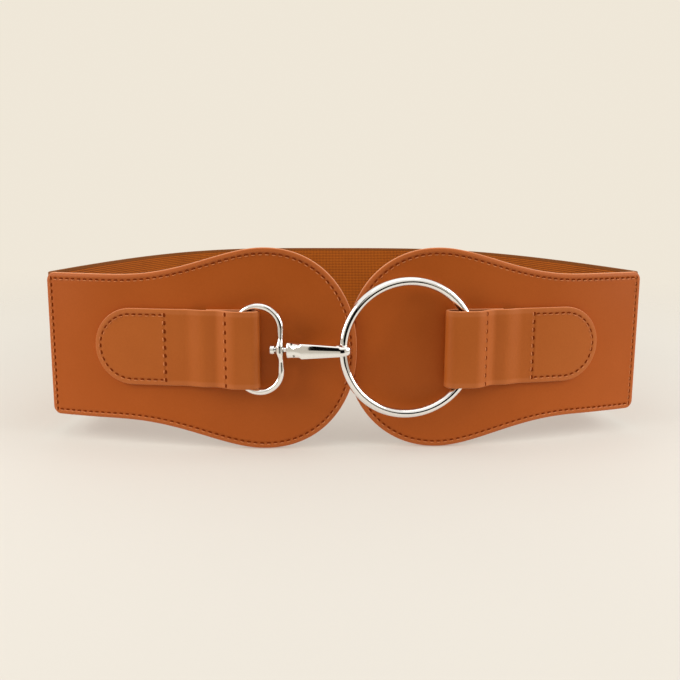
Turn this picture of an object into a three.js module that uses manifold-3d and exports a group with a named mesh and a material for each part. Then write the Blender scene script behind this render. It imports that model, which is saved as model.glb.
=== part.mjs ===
// Wide waist belt, fastened: two lobed leather panels in front, woven elastic round the back,
// and a swivel snap hook on the left panel caught in a large ring on the right one.
// Millimetres, +Z up. The front faces -Y, and the wearer's waist is the hollow behind it.
// In the belt's own frame the outer front face is the plane y = 0 and mid-height is z = 0.
import * as THREE from "three";
import { mergeVertices } from "three/addons/utils/BufferGeometryUtils.js";
import Module from "manifold-3d";

const wasm = await Module();
wasm.setup();

// Clearance between pieces that touch
const FIT = 0.3;

// Front of the belt in plan: straight across the middle, then an arc
const FRONT_STRAIGHT = 38;
const FRONT_RADIUS = 233.8;

// Leather panels
const BAND_HEIGHT = 60;
const LOBE_RISE = 11.3;
const PANEL_LENGTH = 129.3;
const PANEL_WALL = 2.4;
const TIP_LENGTH = 37.5;
const TIP_EXPONENT = 2.12;
const END_LENGTH = 27;
const SHOULDER_BIAS = 1.34;
const TIP_OVERLAP = 4.2;
const LAP_LENGTH = 42;
const END_CORNER = 3.5;
const PANEL_EDGE = 0.6;

// Elastic band
const ELASTIC_WALL = 1.6;
const ELASTIC_INSET = 0.3;
const ELASTIC_OVERLAP = 14;
const ELASTIC_CORNER = 4;
const ELASTIC_SET_BACK = 1;
const CORNER_HEADING = THREE.MathUtils.degToRad(105);
const LOOP_DEPTH = 158.8;
const ELASTIC_EDGE = 0.3;

// Leather straps that hold the fittings
const STRAP_WIDTH = 31.4;
const STRAP_WALL = 1.5;
const STRAP_EDGE = 0.4;
const STRAP_MARGIN = 22.5;
const RIGHT_FOLD = 37.4;
const POCKET_PLAY = 2.6;
const ROW_MARGIN = 2.4;
const LAYER_TAIL = 8.5;
const STEP_LENGTH = 3;
const FITTING_RISE = 1;

// Round ring
const RING_INNER = 50;
const RING_WIRE = 3.6;
const RING_RISE = 1.8;

// Clasp loop with its boss
const LOOP_WIDTH = 20.5;
const LOOP_WIRE = 2.7;
const LOOP_PLAY = 0.6;
const BOSS_WIDTH = 3.5;
const BOSS_DEPTH = 5;
const BOSS_HEIGHT = 10;

// Snap hook
const HOOK_LENGTH = 26.1;
const HOOK_DEPTH = 9.6;
const HOOK_WALL = 1.7;
const HOOK_BASE_HEIGHT = 5.1;
const HOOK_NOSE_HEIGHT = 2.6;
const HOOK_BASE_DEPTH = 6.6;
const HOOK_BASE_LENGTH = 5;
const HOOK_SHOULDER = 6;
const HOOK_TIP = 3;
const HOOK_STAND_OFF = 4.1;
const SWIVEL_GAP = 1.25;
const POST_RADIUS = 1;
const RIVET_RADIUS = 1.95;
const RIVET_LENGTH = 1.6;

// Gate and its pin
const PIVOT_INSET = 2.6;
const GATE_WALL = 1.3;
const GATE_HEIGHT = 2.2;
const GATE_LAP = 1;
const KNUCKLE_RADIUS = 1.5;
const PIN_RADIUS = 0.55;
const PIN_INSET = 0.15;

// Number of stations and sides
const TIP_STEPS = 15;
const TIP_FIRST = 0.35;
const SHOULDER_STEPS = 20;
const CORNER_STEPS = 5;
const LAYER_STEPS = 5;
const RAMP_STEPS = 8;
const FOLD_STEPS = 9;
const BACK_STEPS = 26;
const RING_SIDES = 14;
const RING_STEPS = 64;
const LOOP_SIDES = 12;
const LOOP_STEPS = 14;
const ROUND_SIDES = 16;
const SOLVE_PASSES = 30;

const bandHalf = BAND_HEIGHT / 2;
const lobeHalf = bandHalf + LOBE_RISE;
const elasticHalf = bandHalf - ELASTIC_INSET;
const panelReach = PANEL_LENGTH - TIP_OVERLAP / 2;
const lapLift = (PANEL_WALL + FIT) / 2;

// Lifts of the strap's two layers: mid-wall distance in front of the panel's face
const lowLift = FIT + STRAP_WALL / 2;
const overLift = lowLift + STRAP_WALL + FIT;
const pocketFloor = FIT + STRAP_WALL + FIT;

const leather = { color: 0xa9582c, roughness: 0.5, metalness: 0 };
const strapLeather = { color: 0xad5a2e, roughness: 0.48, metalness: 0 };
const elastic = { color: 0x8c4211, roughness: 0.9, metalness: 0 };
const chrome = { color: 0xd9d7d2, roughness: 0.12, metalness: 1 };

function smooth(share) {
  const t = THREE.MathUtils.clamp(share, 0, 1);
  return t * t * (3 - 2 * t);
}

// Point of the plan, at a signed distance along the front face and a lift in front of it
function frontPoint(along, lift) {
  const side = along < 0 ? -1 : 1;
  const reach = Math.abs(along);
  const bend = Math.max(reach - FRONT_STRAIGHT, 0) / FRONT_RADIUS;
  const x = Math.min(reach, FRONT_STRAIGHT) + (FRONT_RADIUS + lift) * Math.sin(bend);
  const y = FRONT_RADIUS * (1 - Math.cos(bend)) - lift * Math.cos(bend);
  return new THREE.Vector2(side * x, y);
}

function frontHeading(reach) {
  return Math.max(reach - FRONT_STRAIGHT, 0) / FRONT_RADIUS;
}

// Closed surface through rings of equal count; open lofts are capped at both ends
function loft(rings, closed = false) {
  const count = rings[0].length;
  const positions = rings.flat().flatMap((point) => point.toArray());
  const faces = [];
  const spans = closed ? rings.length : rings.length - 1;
  for (let i = 0; i < spans; i++) {
    const a = i * count;
    const b = ((i + 1) % rings.length) * count;
    for (let j = 0; j < count; j++) {
      const k = (j + 1) % count;
      faces.push(a + j, a + k, b + j);
      faces.push(a + k, b + k, b + j);
    }
  }
  if (!closed) {
    const last = (rings.length - 1) * count;
    for (let j = 1; j < count - 1; j++) {
      faces.push(0, j + 1, j);
      faces.push(last, last + j, last + j + 1);
    }
  }
  const geometry = new THREE.BufferGeometry();
  geometry.setAttribute("position", new THREE.Float32BufferAttribute(positions, 3));
  geometry.setIndex(faces);
  return facingOut(geometry);
}

function enclosedVolume(geometry) {
  const at = geometry.getAttribute("position");
  const index = geometry.index.array;
  const [a, b, c] = [new THREE.Vector3(), new THREE.Vector3(), new THREE.Vector3()];
  let volume = 0;
  for (let i = 0; i < index.length; i += 3) {
    a.fromBufferAttribute(at, index[i]);
    b.fromBufferAttribute(at, index[i + 1]);
    c.fromBufferAttribute(at, index[i + 2]);
    volume += a.dot(b.cross(c)) / 6;
  }
  return volume;
}

function facingOut(geometry) {
  if (enclosedVolume(geometry) < 0) {
    const index = geometry.index.array;
    for (let i = 0; i < index.length; i += 3) {
      [index[i + 1], index[i + 2]] = [index[i + 2], index[i + 1]];
    }
  }
  geometry.computeVertexNormals();
  return geometry;
}

// Upright wall: each station holds a point of the mid-line in plan, the half height and the middle height
function wall(stations, thickness, edge) {
  const half = thickness / 2;
  const rings = stations.map((station, i) => {
    const before = stations[Math.max(i - 1, 0)].at;
    const after = stations[Math.min(i + 1, stations.length - 1)].at;
    const run = after.clone().sub(before).normalize();
    const top = station.half;
    const ease = Math.min(edge, top / 2);
    const section = [
      [-half, ease - top],
      [-half, top - ease],
      [edge - half, top],
      [half - edge, top],
      [half, top - ease],
      [half, ease - top],
      [half - edge, -top],
      [edge - half, -top],
    ];
    return section.map(([depth, rise]) => {
      const x = station.at.x + depth * run.y;
      const y = station.at.y - depth * run.x;
      return new THREE.Vector3(x, y, station.middle + rise);
    });
  });
  return loft(rings);
}

// Half height of a panel at a distance from its tip: round tip, falling shoulder, straight end
function panelHalf(fromTip) {
  if (fromTip < TIP_LENGTH) {
    const short = (TIP_LENGTH - fromTip) / TIP_LENGTH;
    return lobeHalf * (1 - short ** TIP_EXPONENT) ** (1 / TIP_EXPONENT);
  }
  const shoulder = PANEL_LENGTH - END_LENGTH;
  const left = Math.max(shoulder - fromTip, 0) / (shoulder - TIP_LENGTH);
  const corner = Math.max(fromTip - (PANEL_LENGTH - END_CORNER), 0);
  const cut = END_CORNER - Math.sqrt(Math.max(END_CORNER ** 2 - corner ** 2, 0));
  return bandHalf + LOBE_RISE * smooth(left ** SHOULDER_BIAS) - cut;
}

function steps(count, from, to) {
  return Array.from({ length: count }, (_, i) => from + ((to - from) * (i + 1)) / count);
}

function panelDistances() {
  const tip = [];
  for (let i = 0; i <= TIP_STEPS; i++) {
    const turn = ((Math.PI / 2) * (i + TIP_FIRST)) / (TIP_STEPS + TIP_FIRST);
    tip.push(TIP_LENGTH * (1 - Math.cos(turn)));
  }
  const shoulder = PANEL_LENGTH - END_LENGTH;
  const corners = [];
  for (let i = 1; i <= CORNER_STEPS; i++) {
    const turn = ((Math.PI / 2) * i) / CORNER_STEPS;
    corners.push(PANEL_LENGTH - END_CORNER + END_CORNER * Math.sin(turn));
  }
  const flat = steps(LAYER_STEPS, shoulder, PANEL_LENGTH - END_CORNER);
  return [...tip, ...steps(SHOULDER_STEPS, TIP_LENGTH, shoulder), ...flat, ...corners];
}

// side is -1 for the left panel, whose tip lies in front, and 1 for the right one
function panel(side) {
  const stations = panelDistances().map((fromTip) => {
    const lap = -side * lapLift * (1 - smooth(fromTip / LAP_LENGTH));
    const along = side * (fromTip - TIP_OVERLAP / 2);
    return { at: frontPoint(along, lap - PANEL_WALL / 2), half: panelHalf(fromTip), middle: 0 };
  });
  return wall(stations, PANEL_WALL, PANEL_EDGE);
}

// Mid-line of the elastic: under the right panel, round the corner, across the back and home again
function elasticBand() {
  const behind = -PANEL_WALL - FIT - ELASTIC_WALL / 2;
  const leave = panelReach - ELASTIC_SET_BACK;
  const run = [-1, ...steps(LAYER_STEPS, 0, ELASTIC_OVERLAP)].map((share) => Math.max(share, 0));
  const under = run.map((past) => frontPoint(leave - ELASTIC_OVERLAP + past, behind));
  const from = under[under.length - 1];
  const heading = frontHeading(leave);
  const radius = ELASTIC_CORNER - ELASTIC_WALL / 2;
  const centre = from.clone().add(
    new THREE.Vector2(-Math.sin(heading), Math.cos(heading)).multiplyScalar(radius),
  );
  const corner = steps(CORNER_STEPS + 2, heading, CORNER_HEADING).map((turn) =>
    new THREE.Vector2(Math.sin(turn), -Math.cos(turn)).multiplyScalar(radius).add(centre),
  );
  const start = corner[corner.length - 1];
  const depth = LOOP_DEPTH - ELASTIC_WALL / 2 - start.y;
  const exponent = (-Math.tan(CORNER_HEADING) * start.x) / depth;
  const back = steps(BACK_STEPS, 0, Math.PI / 2).map((turn) => {
    const share = Math.max(Math.cos(turn), 0) ** (2 / exponent);
    return new THREE.Vector2(start.x * share, start.y + depth * (1 - share ** exponent));
  });
  const right = [...under, ...corner, ...back.slice(0, -1)];
  const left = right.slice().reverse().map((point) => new THREE.Vector2(-point.x, point.y));
  const stations = [...right, ...left].map((at) => ({ at, half: elasticHalf, middle: 0 }));
  return wall(stations, ELASTIC_WALL, ELASTIC_EDGE);
}

// Where the fittings lie. A bar is the stretch of wire inside a strap's pocket.
const ringRadius = (RING_INNER + RING_WIRE) / 2;
const ringDrop = Math.abs(RING_RISE - FITTING_RISE) + STRAP_WIDTH / 2;
const ringBow = ringRadius - Math.sqrt(ringRadius ** 2 - ringDrop ** 2);
const ringBarReach = RIGHT_FOLD + STRAP_WALL + POCKET_PLAY + ringBow + RING_WIRE / 2;
const ringBar = frontPoint(ringBarReach, pocketFloor + RING_WIRE / 2);
const ringStandOff = lapLift + HOOK_STAND_OFF + HOOK_DEPTH / 2;
const ringYaw = Math.asin((ringBar.y + ringStandOff) / (2 * ringRadius));
const ringCatch = new THREE.Vector2(
  ringBar.x - 2 * ringRadius * Math.cos(ringYaw),
  -ringStandOff,
);

// Distances along the clasp, from the loop's bar towards the ring
const loopSpan = LOOP_WIDTH - LOOP_WIRE;
const loopBend = loopSpan / 2;
const loopHalf = (STRAP_WIDTH + LOOP_PLAY + LOOP_WIRE) / 2;
const loopStraight = loopHalf - loopBend;
const bossStart = loopSpan + LOOP_WIRE / 2 - BOSS_WIDTH;
const rivetStart = bossStart - FIT - RIVET_LENGTH;
const hookStart = loopSpan + LOOP_WIRE / 2 + SWIVEL_GAP;
const hookEnd = hookStart + HOOK_LENGTH;
const catchDistance = hookEnd - HOOK_WALL - FIT - RING_WIRE / 2;

// The loop's bar lies in its pocket, as far from the ring's wire as the clasp is long
function claspBarReach() {
  let near = 0;
  let far = panelReach;
  for (let pass = 0; pass < SOLVE_PASSES; pass++) {
    const middle = (near + far) / 2;
    const bar = frontPoint(-middle, pocketFloor + LOOP_WIRE / 2);
    if (bar.distanceTo(ringCatch) < catchDistance) {
      near = middle;
    } else {
      far = middle;
    }
  }
  return (near + far) / 2;
}

const loopBarReach = claspBarReach();
const loopBar = frontPoint(-loopBarReach, pocketFloor + LOOP_WIRE / 2);
const claspYaw = Math.asin((loopBar.y - ringCatch.y) / catchDistance);
const claspPitch = Math.asin((RING_RISE - FITTING_RISE) / catchDistance);
const loopRise = STRAP_WIDTH / 2 - loopStraight;
const loopBow = loopBend - Math.sqrt(loopBend ** 2 - loopRise ** 2);
const leftFold = loopBarReach - LOOP_WIRE / 2 - loopBow - POCKET_PLAY - STRAP_WALL;

// How high a pocket's front layer stands, so that a slanting wire fits under it
function pocketRoof(wire, bow, yaw) {
  return pocketFloor + wire + FIT + (bow + wire) * Math.tan(yaw);
}

const rightPocket = {
  fold: RIGHT_FOLD,
  roof: pocketRoof(RING_WIRE, ringBow, ringYaw),
  row: ringBarReach + RING_WIRE / 2 + ROW_MARGIN,
  wire: RING_WIRE,
};
const leftPocket = {
  fold: leftFold,
  roof: pocketRoof(LOOP_WIRE, loopBow, claspYaw),
  row: loopBarReach + LOOP_WIRE / 2 + ROW_MARGIN,
  wire: LOOP_WIRE,
};

// A strap starts at its round end, runs over its own tail, round the fitting's wire and back to its tail
function strap(side, pocket) {
  const half = STRAP_WIDTH / 2;
  const end = panelReach - STRAP_MARGIN;
  const high = pocket.roof + STRAP_WALL / 2;
  const tail = pocket.row + LAYER_TAIL;
  const rampStart = pocket.row - ROW_MARGIN - pocket.wire / 2;
  const rampEnd = pocket.row + ROW_MARGIN / 2;
  const foldRadius = (high - lowLift) / 2;
  const foldCentre = pocket.fold + STRAP_WALL / 2 + foldRadius;
  const frontLift = (reach) =>
    lowLift +
    (overLift - lowLift) * (1 - smooth((reach - tail - FIT) / STEP_LENGTH)) +
    (high - overLift) * (1 - smooth((reach - rampStart) / (rampEnd - rampStart)));
  const path = [];
  for (let i = 0; i <= TIP_STEPS; i++) {
    const turn = ((Math.PI / 2) * (i + TIP_FIRST)) / (TIP_STEPS + TIP_FIRST);
    const reach = end - half * (1 - Math.cos(turn));
    path.push({ reach, lift: lowLift, half: half * Math.sin(turn) });
  }
  const front = [
    ...steps(LAYER_STEPS, end - half, tail + FIT + STEP_LENGTH),
    ...steps(RAMP_STEPS, tail + FIT + STEP_LENGTH, tail + FIT),
    ...steps(LAYER_STEPS, tail + FIT, rampEnd),
    ...steps(RAMP_STEPS, rampEnd, rampStart),
    ...steps(LAYER_STEPS, rampStart, foldCentre),
  ];
  front.forEach((reach) => path.push({ reach, lift: frontLift(reach), half }));
  steps(FOLD_STEPS, 0, Math.PI).forEach((turn) => {
    const reach = foldCentre - foldRadius * Math.sin(turn);
    path.push({ reach, lift: lowLift + foldRadius * (1 + Math.cos(turn)), half });
  });
  steps(LAYER_STEPS, foldCentre, tail).forEach((reach) => path.push({ reach, lift: lowLift, half }));
  const stations = path.map((row) => ({
    at: frontPoint(side * row.reach, row.lift),
    half: row.half,
    middle: FITTING_RISE,
  }));
  return wall(stations, STRAP_WALL, STRAP_EDGE);
}

function solid(geometry) {
  const bare = geometry.index ? geometry.toNonIndexed() : geometry.clone();
  bare.deleteAttribute("normal");
  bare.deleteAttribute("uv");
  const merged = mergeVertices(bare, 1e-4);
  const mesh = new wasm.Mesh({
    numProp: 3,
    vertProperties: merged.getAttribute("position").array,
    triVerts: new Uint32Array(merged.index.array),
  });
  return new wasm.Manifold(mesh);
}

function geometryOf(manifold) {
  const mesh = manifold.getMesh();
  const geometry = new THREE.BufferGeometry();
  geometry.setAttribute("position", new THREE.BufferAttribute(mesh.vertProperties, 3));
  geometry.setIndex(new THREE.BufferAttribute(mesh.triVerts, 1));
  geometry.computeVertexNormals();
  return geometry;
}

// Cylinder along the clasp, from one distance to another
function rodAlong(radius, from, to) {
  const rod = new THREE.CylinderGeometry(radius, radius, to - from, ROUND_SIDES);
  return rod.rotateZ(Math.PI / 2).translate((from + to) / 2, 0, 0);
}

function rodUpright(radius, height, x, y) {
  const rod = new THREE.CylinderGeometry(radius, radius, height, ROUND_SIDES);
  return rod.rotateX(Math.PI / 2).translate(x, y, 0);
}

function boxBetween(low, high) {
  const size = high.clone().sub(low);
  const middle = high.clone().add(low).multiplyScalar(0.5);
  return new THREE.BoxGeometry(size.x, size.y, size.z).translate(middle.x, middle.y, middle.z);
}

// Oval wire loop; its far side swells into a boss with a bore for the swivel post
function claspLoop() {
  const turns = steps(2 * LOOP_STEPS, -Math.PI / 2, (3 * Math.PI) / 2);
  const path = [];
  steps(LOOP_STEPS, -loopStraight, loopStraight).forEach((z) => path.push({ z, x: loopSpan, turn: 0 }));
  turns.forEach((start) => {
    const turn = start + Math.PI / 2;
    if (turn < Math.PI) {
      path.push({
        x: loopBend + loopBend * Math.cos(turn),
        z: loopStraight + loopBend * Math.sin(turn),
        turn,
      });
    }
  });
  path.push({ x: 0, z: loopStraight, turn: Math.PI });
  turns.forEach((start) => {
    const turn = start + Math.PI / 2;
    if (turn >= Math.PI && turn < 2 * Math.PI) {
      path.push({
        x: loopBend + loopBend * Math.cos(turn),
        z: loopBend * Math.sin(turn) - loopStraight,
        turn,
      });
    }
  });
  path.push({ x: loopSpan, z: -loopStraight, turn: 0 });
  const rings = path.map((row) => {
    const far = Math.abs(row.x - loopSpan) < FIT;
    const swell = far ? 1 - smooth(Math.abs(row.z) / (BOSS_HEIGHT / 2)) : 0;
    const across = LOOP_WIRE / 2 + (swell * (BOSS_WIDTH - LOOP_WIRE)) / 2;
    const deep = LOOP_WIRE / 2 + (swell * (BOSS_DEPTH - LOOP_WIRE)) / 2;
    const shift = (swell * (LOOP_WIRE - BOSS_WIDTH)) / 2;
    return Array.from({ length: LOOP_SIDES }, (_, i) => {
      const angle = (2 * Math.PI * i) / LOOP_SIDES;
      const out = shift + across * Math.cos(angle);
      return new THREE.Vector3(
        row.x + out * Math.cos(row.turn),
        deep * Math.sin(angle),
        row.z + out * Math.sin(row.turn),
      );
    });
  });
  const bore = solid(rodAlong(POST_RADIUS + FIT, bossStart - 1, hookStart));
  return geometryOf(solid(loft(rings, true)).subtract(bore));
}

// Distances of the hook's features along the clasp, and depths across it (+ towards the panel)
const hookOuter = HOOK_DEPTH / 2;
const hookInner = hookOuter - HOOK_WALL;
const noseCentre = hookEnd - hookOuter;
const tipStart = noseCentre - HOOK_TIP;
const baseEnd = hookStart + HOOK_BASE_LENGTH;
const gateOuter = hookInner - FIT;
const gateInner = gateOuter - GATE_WALL;
const pivot = new THREE.Vector2(hookStart + PIVOT_INSET, gateOuter - KNUCKLE_RADIUS + FIT);

function hookHeight(x) {
  const share = (x - hookStart) / HOOK_LENGTH;
  return HOOK_BASE_HEIGHT + (HOOK_NOSE_HEIGHT - HOOK_BASE_HEIGHT) * share;
}

function hookOutline() {
  const root = HOOK_BASE_DEPTH / 2;
  const outline = new THREE.Shape();
  outline.moveTo(hookStart, -root);
  outline.quadraticCurveTo(hookStart + HOOK_SHOULDER / 2, -hookOuter, hookStart + HOOK_SHOULDER, -hookOuter);
  outline.lineTo(noseCentre, -hookOuter);
  outline.absarc(noseCentre, 0, hookOuter, -Math.PI / 2, Math.PI / 2, false);
  outline.lineTo(tipStart + HOOK_WALL / 2, hookOuter);
  outline.quadraticCurveTo(tipStart, hookOuter, tipStart, hookInner);
  outline.lineTo(noseCentre, hookInner);
  outline.absarc(noseCentre, 0, hookInner, Math.PI / 2, -Math.PI / 2, true);
  outline.lineTo(baseEnd + HOOK_WALL, -hookInner);
  outline.quadraticCurveTo(baseEnd, -hookInner, baseEnd, HOOK_WALL - hookInner);
  outline.lineTo(baseEnd, root);
  outline.lineTo(hookStart, root);
  return outline;
}

// Flat outline in plan made a solid whose height tapers along the clasp
function tapered(outline, heightAt) {
  const geometry = new THREE.ExtrudeGeometry(outline, {
    depth: 1,
    bevelEnabled: false,
    curveSegments: ROUND_SIDES / 2,
  });
  const at = geometry.getAttribute("position");
  for (let i = 0; i < at.count; i++) {
    at.setZ(i, (at.getZ(i) - 0.5) * heightAt(at.getX(i)));
  }
  return geometry;
}

function snapHook() {
  const slotHalf = GATE_HEIGHT / 2 + FIT;
  const slot = boxBetween(
    new THREE.Vector3(pivot.x - KNUCKLE_RADIUS - FIT, pivot.y - KNUCKLE_RADIUS - FIT, -slotHalf),
    new THREE.Vector3(baseEnd + KNUCKLE_RADIUS, HOOK_DEPTH, slotHalf),
  );
  const body = solid(tapered(hookOutline(), hookHeight))
    .subtract(solid(slot))
    .subtract(solid(rodUpright(PIN_RADIUS + FIT, 2 * HOOK_BASE_HEIGHT, pivot.x, pivot.y)));
  const post = solid(rodAlong(POST_RADIUS, rivetStart + RIVET_LENGTH / 2, hookStart + FIT));
  const rivet = solid(rodAlong(RIVET_RADIUS, rivetStart, rivetStart + RIVET_LENGTH));
  return geometryOf(body.add(post).add(rivet));
}

// Lever with a round knuckle at the pin; its end rests inside the hook's tip
function hookGate() {
  const reach = tipStart + GATE_LAP;
  const blade = new THREE.Shape();
  blade.moveTo(pivot.x, gateInner);
  blade.lineTo(reach - GATE_WALL / 2, gateInner);
  blade.quadraticCurveTo(reach, gateInner, reach, gateOuter - GATE_WALL / 4);
  blade.lineTo(reach, gateOuter);
  blade.lineTo(pivot.x, gateOuter);
  const knuckle = rodUpright(KNUCKLE_RADIUS, GATE_HEIGHT, pivot.x, pivot.y);
  const bore = rodUpright(PIN_RADIUS + FIT, 2 * GATE_HEIGHT, pivot.x, pivot.y);
  const lever = solid(tapered(blade, () => GATE_HEIGHT)).add(solid(knuckle));
  return geometryOf(lever.subtract(solid(bore)));
}

function gatePin() {
  return rodUpright(PIN_RADIUS, hookHeight(pivot.x) - 2 * PIN_INSET, pivot.x, pivot.y);
}

function piece(name, geometry, finish) {
  const mesh = new THREE.Mesh(geometry, new THREE.MeshStandardMaterial(finish));
  mesh.name = name;
  return mesh;
}

// The clasp's own frame starts at the loop's bar and points at the ring's wire
function clasp() {
  const group = new THREE.Group();
  group.add(piece("clasp_loop", claspLoop(), chrome));
  group.add(piece("snap_hook", snapHook(), chrome));
  group.add(piece("hook_gate", hookGate(), chrome));
  group.add(piece("gate_pin", gatePin(), chrome));
  group.position.set(loopBar.x, loopBar.y, FITTING_RISE);
  group.rotation.set(0, -claspPitch, -claspYaw, "ZYX");
  return group;
}

function roundRing() {
  const torus = new THREE.TorusGeometry(ringRadius, RING_WIRE / 2, RING_SIDES, RING_STEPS);
  const ring = piece("round_ring", torus.rotateX(Math.PI / 2), chrome);
  ring.position.set((ringBar.x + ringCatch.x) / 2, (ringBar.y + ringCatch.y) / 2, RING_RISE);
  ring.rotation.z = ringYaw;
  return ring;
}

// The lobes reach lower than the elastic, so the belt leans back until both rest on the ground
const lean = Math.atan2(lobeHalf - elasticHalf, LOOP_DEPTH - PANEL_WALL);
const standing = new THREE.Group();
standing.add(piece("elastic_band", elasticBand(), elastic));
standing.add(piece("left_panel", panel(-1), leather));
standing.add(piece("right_panel", panel(1), leather));
standing.add(piece("left_strap", strap(-1, leftPocket), strapLeather));
standing.add(piece("right_strap", strap(1, rightPocket), strapLeather));
standing.add(clasp());
standing.add(roundRing());
standing.rotation.x = -lean;

// The origin is the middle of the belt's box, on the ground
const belt = new THREE.Group();
belt.add(standing);
belt.updateMatrixWorld(true);
const box = new THREE.Box3().setFromObject(belt, true);
standing.position.set(-(box.min.x + box.max.x) / 2, -(box.min.y + box.max.y) / 2, -box.min.z);

export default belt;
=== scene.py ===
"""Looks of a wide stretch belt: lobed leather panels, woven elastic back, snap hook and ring."""
import logging
import math
from collections.abc import Callable, Sequence
from dataclasses import dataclass, field
from enum import Enum

import bmesh
import bpy
import numpy as np
from mathutils import Matrix, Vector


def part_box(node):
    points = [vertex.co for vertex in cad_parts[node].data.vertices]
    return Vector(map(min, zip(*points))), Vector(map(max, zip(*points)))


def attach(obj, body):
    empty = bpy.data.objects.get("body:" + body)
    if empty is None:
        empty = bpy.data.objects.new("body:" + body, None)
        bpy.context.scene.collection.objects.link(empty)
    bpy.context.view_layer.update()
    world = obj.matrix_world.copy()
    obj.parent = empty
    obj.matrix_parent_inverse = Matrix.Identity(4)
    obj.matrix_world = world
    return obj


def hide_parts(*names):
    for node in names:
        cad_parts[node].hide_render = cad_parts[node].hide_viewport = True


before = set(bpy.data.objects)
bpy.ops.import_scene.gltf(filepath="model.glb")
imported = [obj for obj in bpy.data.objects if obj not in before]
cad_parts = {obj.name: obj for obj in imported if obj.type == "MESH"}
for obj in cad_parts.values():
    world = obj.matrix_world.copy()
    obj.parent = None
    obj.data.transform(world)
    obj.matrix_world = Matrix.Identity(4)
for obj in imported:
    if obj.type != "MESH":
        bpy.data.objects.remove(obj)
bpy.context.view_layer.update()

LOG = logging.getLogger("belt")
MM = 0.001
Array = np.ndarray
Socket = bpy.types.NodeSocket
Colour = tuple[float, float, float, float]
Point = tuple[float, float, float]


class Side(Enum):
    """The viewer's left or right half of the belt."""

    LEFT = -1
    RIGHT = 1

    @property
    def label(self) -> str:
        """Prefix of the half's node names."""
        return self.name.lower()


class Slot(Enum):
    """Material slots of the record."""

    PANEL = "panel_leather"
    STRAP = "strap_leather"
    ELASTIC = "elastic"
    CHROME = "chrome"


def smooth(share: Array | float) -> Array:
    """Eases a share from 0 to 1."""
    t = np.clip(share, 0.0, 1.0)
    return t * t * (3.0 - 2.0 * t)


def bump_at(distance: Array, centre: float, width: float) -> Array:
    """Bell of height 1 round a distance."""
    return np.exp(-(((distance - centre) / width) ** 2))


@dataclass(frozen=True)
class Plan:
    """Plan of the belt's front, straight across the middle and then curving back (mm)."""

    straight: float = 38.0
    radius: float = 233.8

    def point(self, along: Array | float, lift: Array | float) -> Array:
        """Points in plan.

        Args:
            along: signed distances along the front face.
            lift: distances in front of the face.

        Returns:
            Array of x and y pairs.
        """
        along = np.asarray(along, float)
        reach = np.abs(along)
        bend = np.maximum(reach - self.straight, 0.0) / self.radius
        x = np.minimum(reach, self.straight) + (self.radius + lift) * np.sin(bend)
        y = self.radius * (1.0 - np.cos(bend)) - lift * np.cos(bend)
        return np.stack([np.where(along < 0, -x, x), y], axis=-1)


PLAN = Plan()


@dataclass(frozen=True)
class Stance:
    """How the belt's own frame stands on the ground."""

    lean: float
    shift: tuple[float, float, float]

    @classmethod
    def from_frame(cls, lobe_half: float, elastic_half: float, depth: float, wall: float) -> "Stance":
        """Works out the lean from the belt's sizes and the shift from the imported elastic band.

        Args:
            lobe_half: half height of the lobes.
            elastic_half: half height of the elastic.
            depth: depth of the whole loop.
            wall: wall of the panels.

        Returns:
            The stance, with its shift in millimetres.
        """
        lean = math.atan2(lobe_half - elastic_half, depth - wall)
        low, high = (np.array(corner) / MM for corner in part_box("elastic_band"))
        back = depth * math.cos(lean) + elastic_half * math.sin(lean)
        base = -depth * math.sin(lean) - elastic_half * math.cos(lean)
        return cls(lean, (0.0, float(high[1] - back), float(low[2] - base)))

    def matrix(self) -> Matrix:
        """Turns belt millimetres into the part's metres."""
        place = Matrix.Translation(Vector(self.shift)) @ Matrix.Rotation(-self.lean, 4, "X")
        return Matrix.Diagonal((MM, MM, MM, 1.0)) @ place

    def apply(self, points: Array) -> Array:
        """Moves an array of belt points into the part's frame."""
        m = np.array(self.matrix())
        return points @ m[:3, :3].T + m[:3, 3]

    def turn(self, vectors: Array) -> Array:
        """Turns an array of directions into the part's frame."""
        m = np.array(Matrix.Rotation(-self.lean, 3, "X"))
        return vectors @ m.T


def new_object(name: str, mesh: bpy.types.Mesh) -> bpy.types.Object:
    """Links a mesh as an object at the origin."""
    obj = bpy.data.objects.new(name, mesh)
    bpy.context.scene.collection.objects.link(obj)
    return obj


def mesh_from(
    name: str,
    points: Array,
    faces: Sequence[Sequence[int]],
    uv: Array | None = None,
    values: dict[str, Array] | None = None,
) -> bpy.types.Mesh:
    """Makes a smooth-shaded mesh.

    Args:
        name: the mesh's name.
        points: vertex positions in metres.
        faces: vertex indices of each face.
        uv: one UV pair for each vertex.
        values: named float attributes, one value for each vertex.

    Returns:
        The mesh, with its faces pointing outwards.
    """
    mesh = bpy.data.meshes.new(name)
    mesh.from_pydata([tuple(p) for p in points], [], [tuple(int(i) for i in f) for f in faces])
    mesh.update()
    if signed_volume(mesh) < 0:
        mesh.flip_normals()
    for key, data in (values or {}).items():
        layer = mesh.attributes.new(key, "FLOAT", "POINT")
        layer.data.foreach_set("value", np.asarray(data, np.float32))
    if uv is not None:
        layer = mesh.uv_layers.new(name="UVMap")
        corners = np.empty(len(mesh.loops), np.int32)
        mesh.loops.foreach_get("vertex_index", corners)
        layer.data.foreach_set("uv", np.asarray(uv, np.float32)[corners].ravel())
    mesh.shade_smooth()
    return mesh


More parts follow.
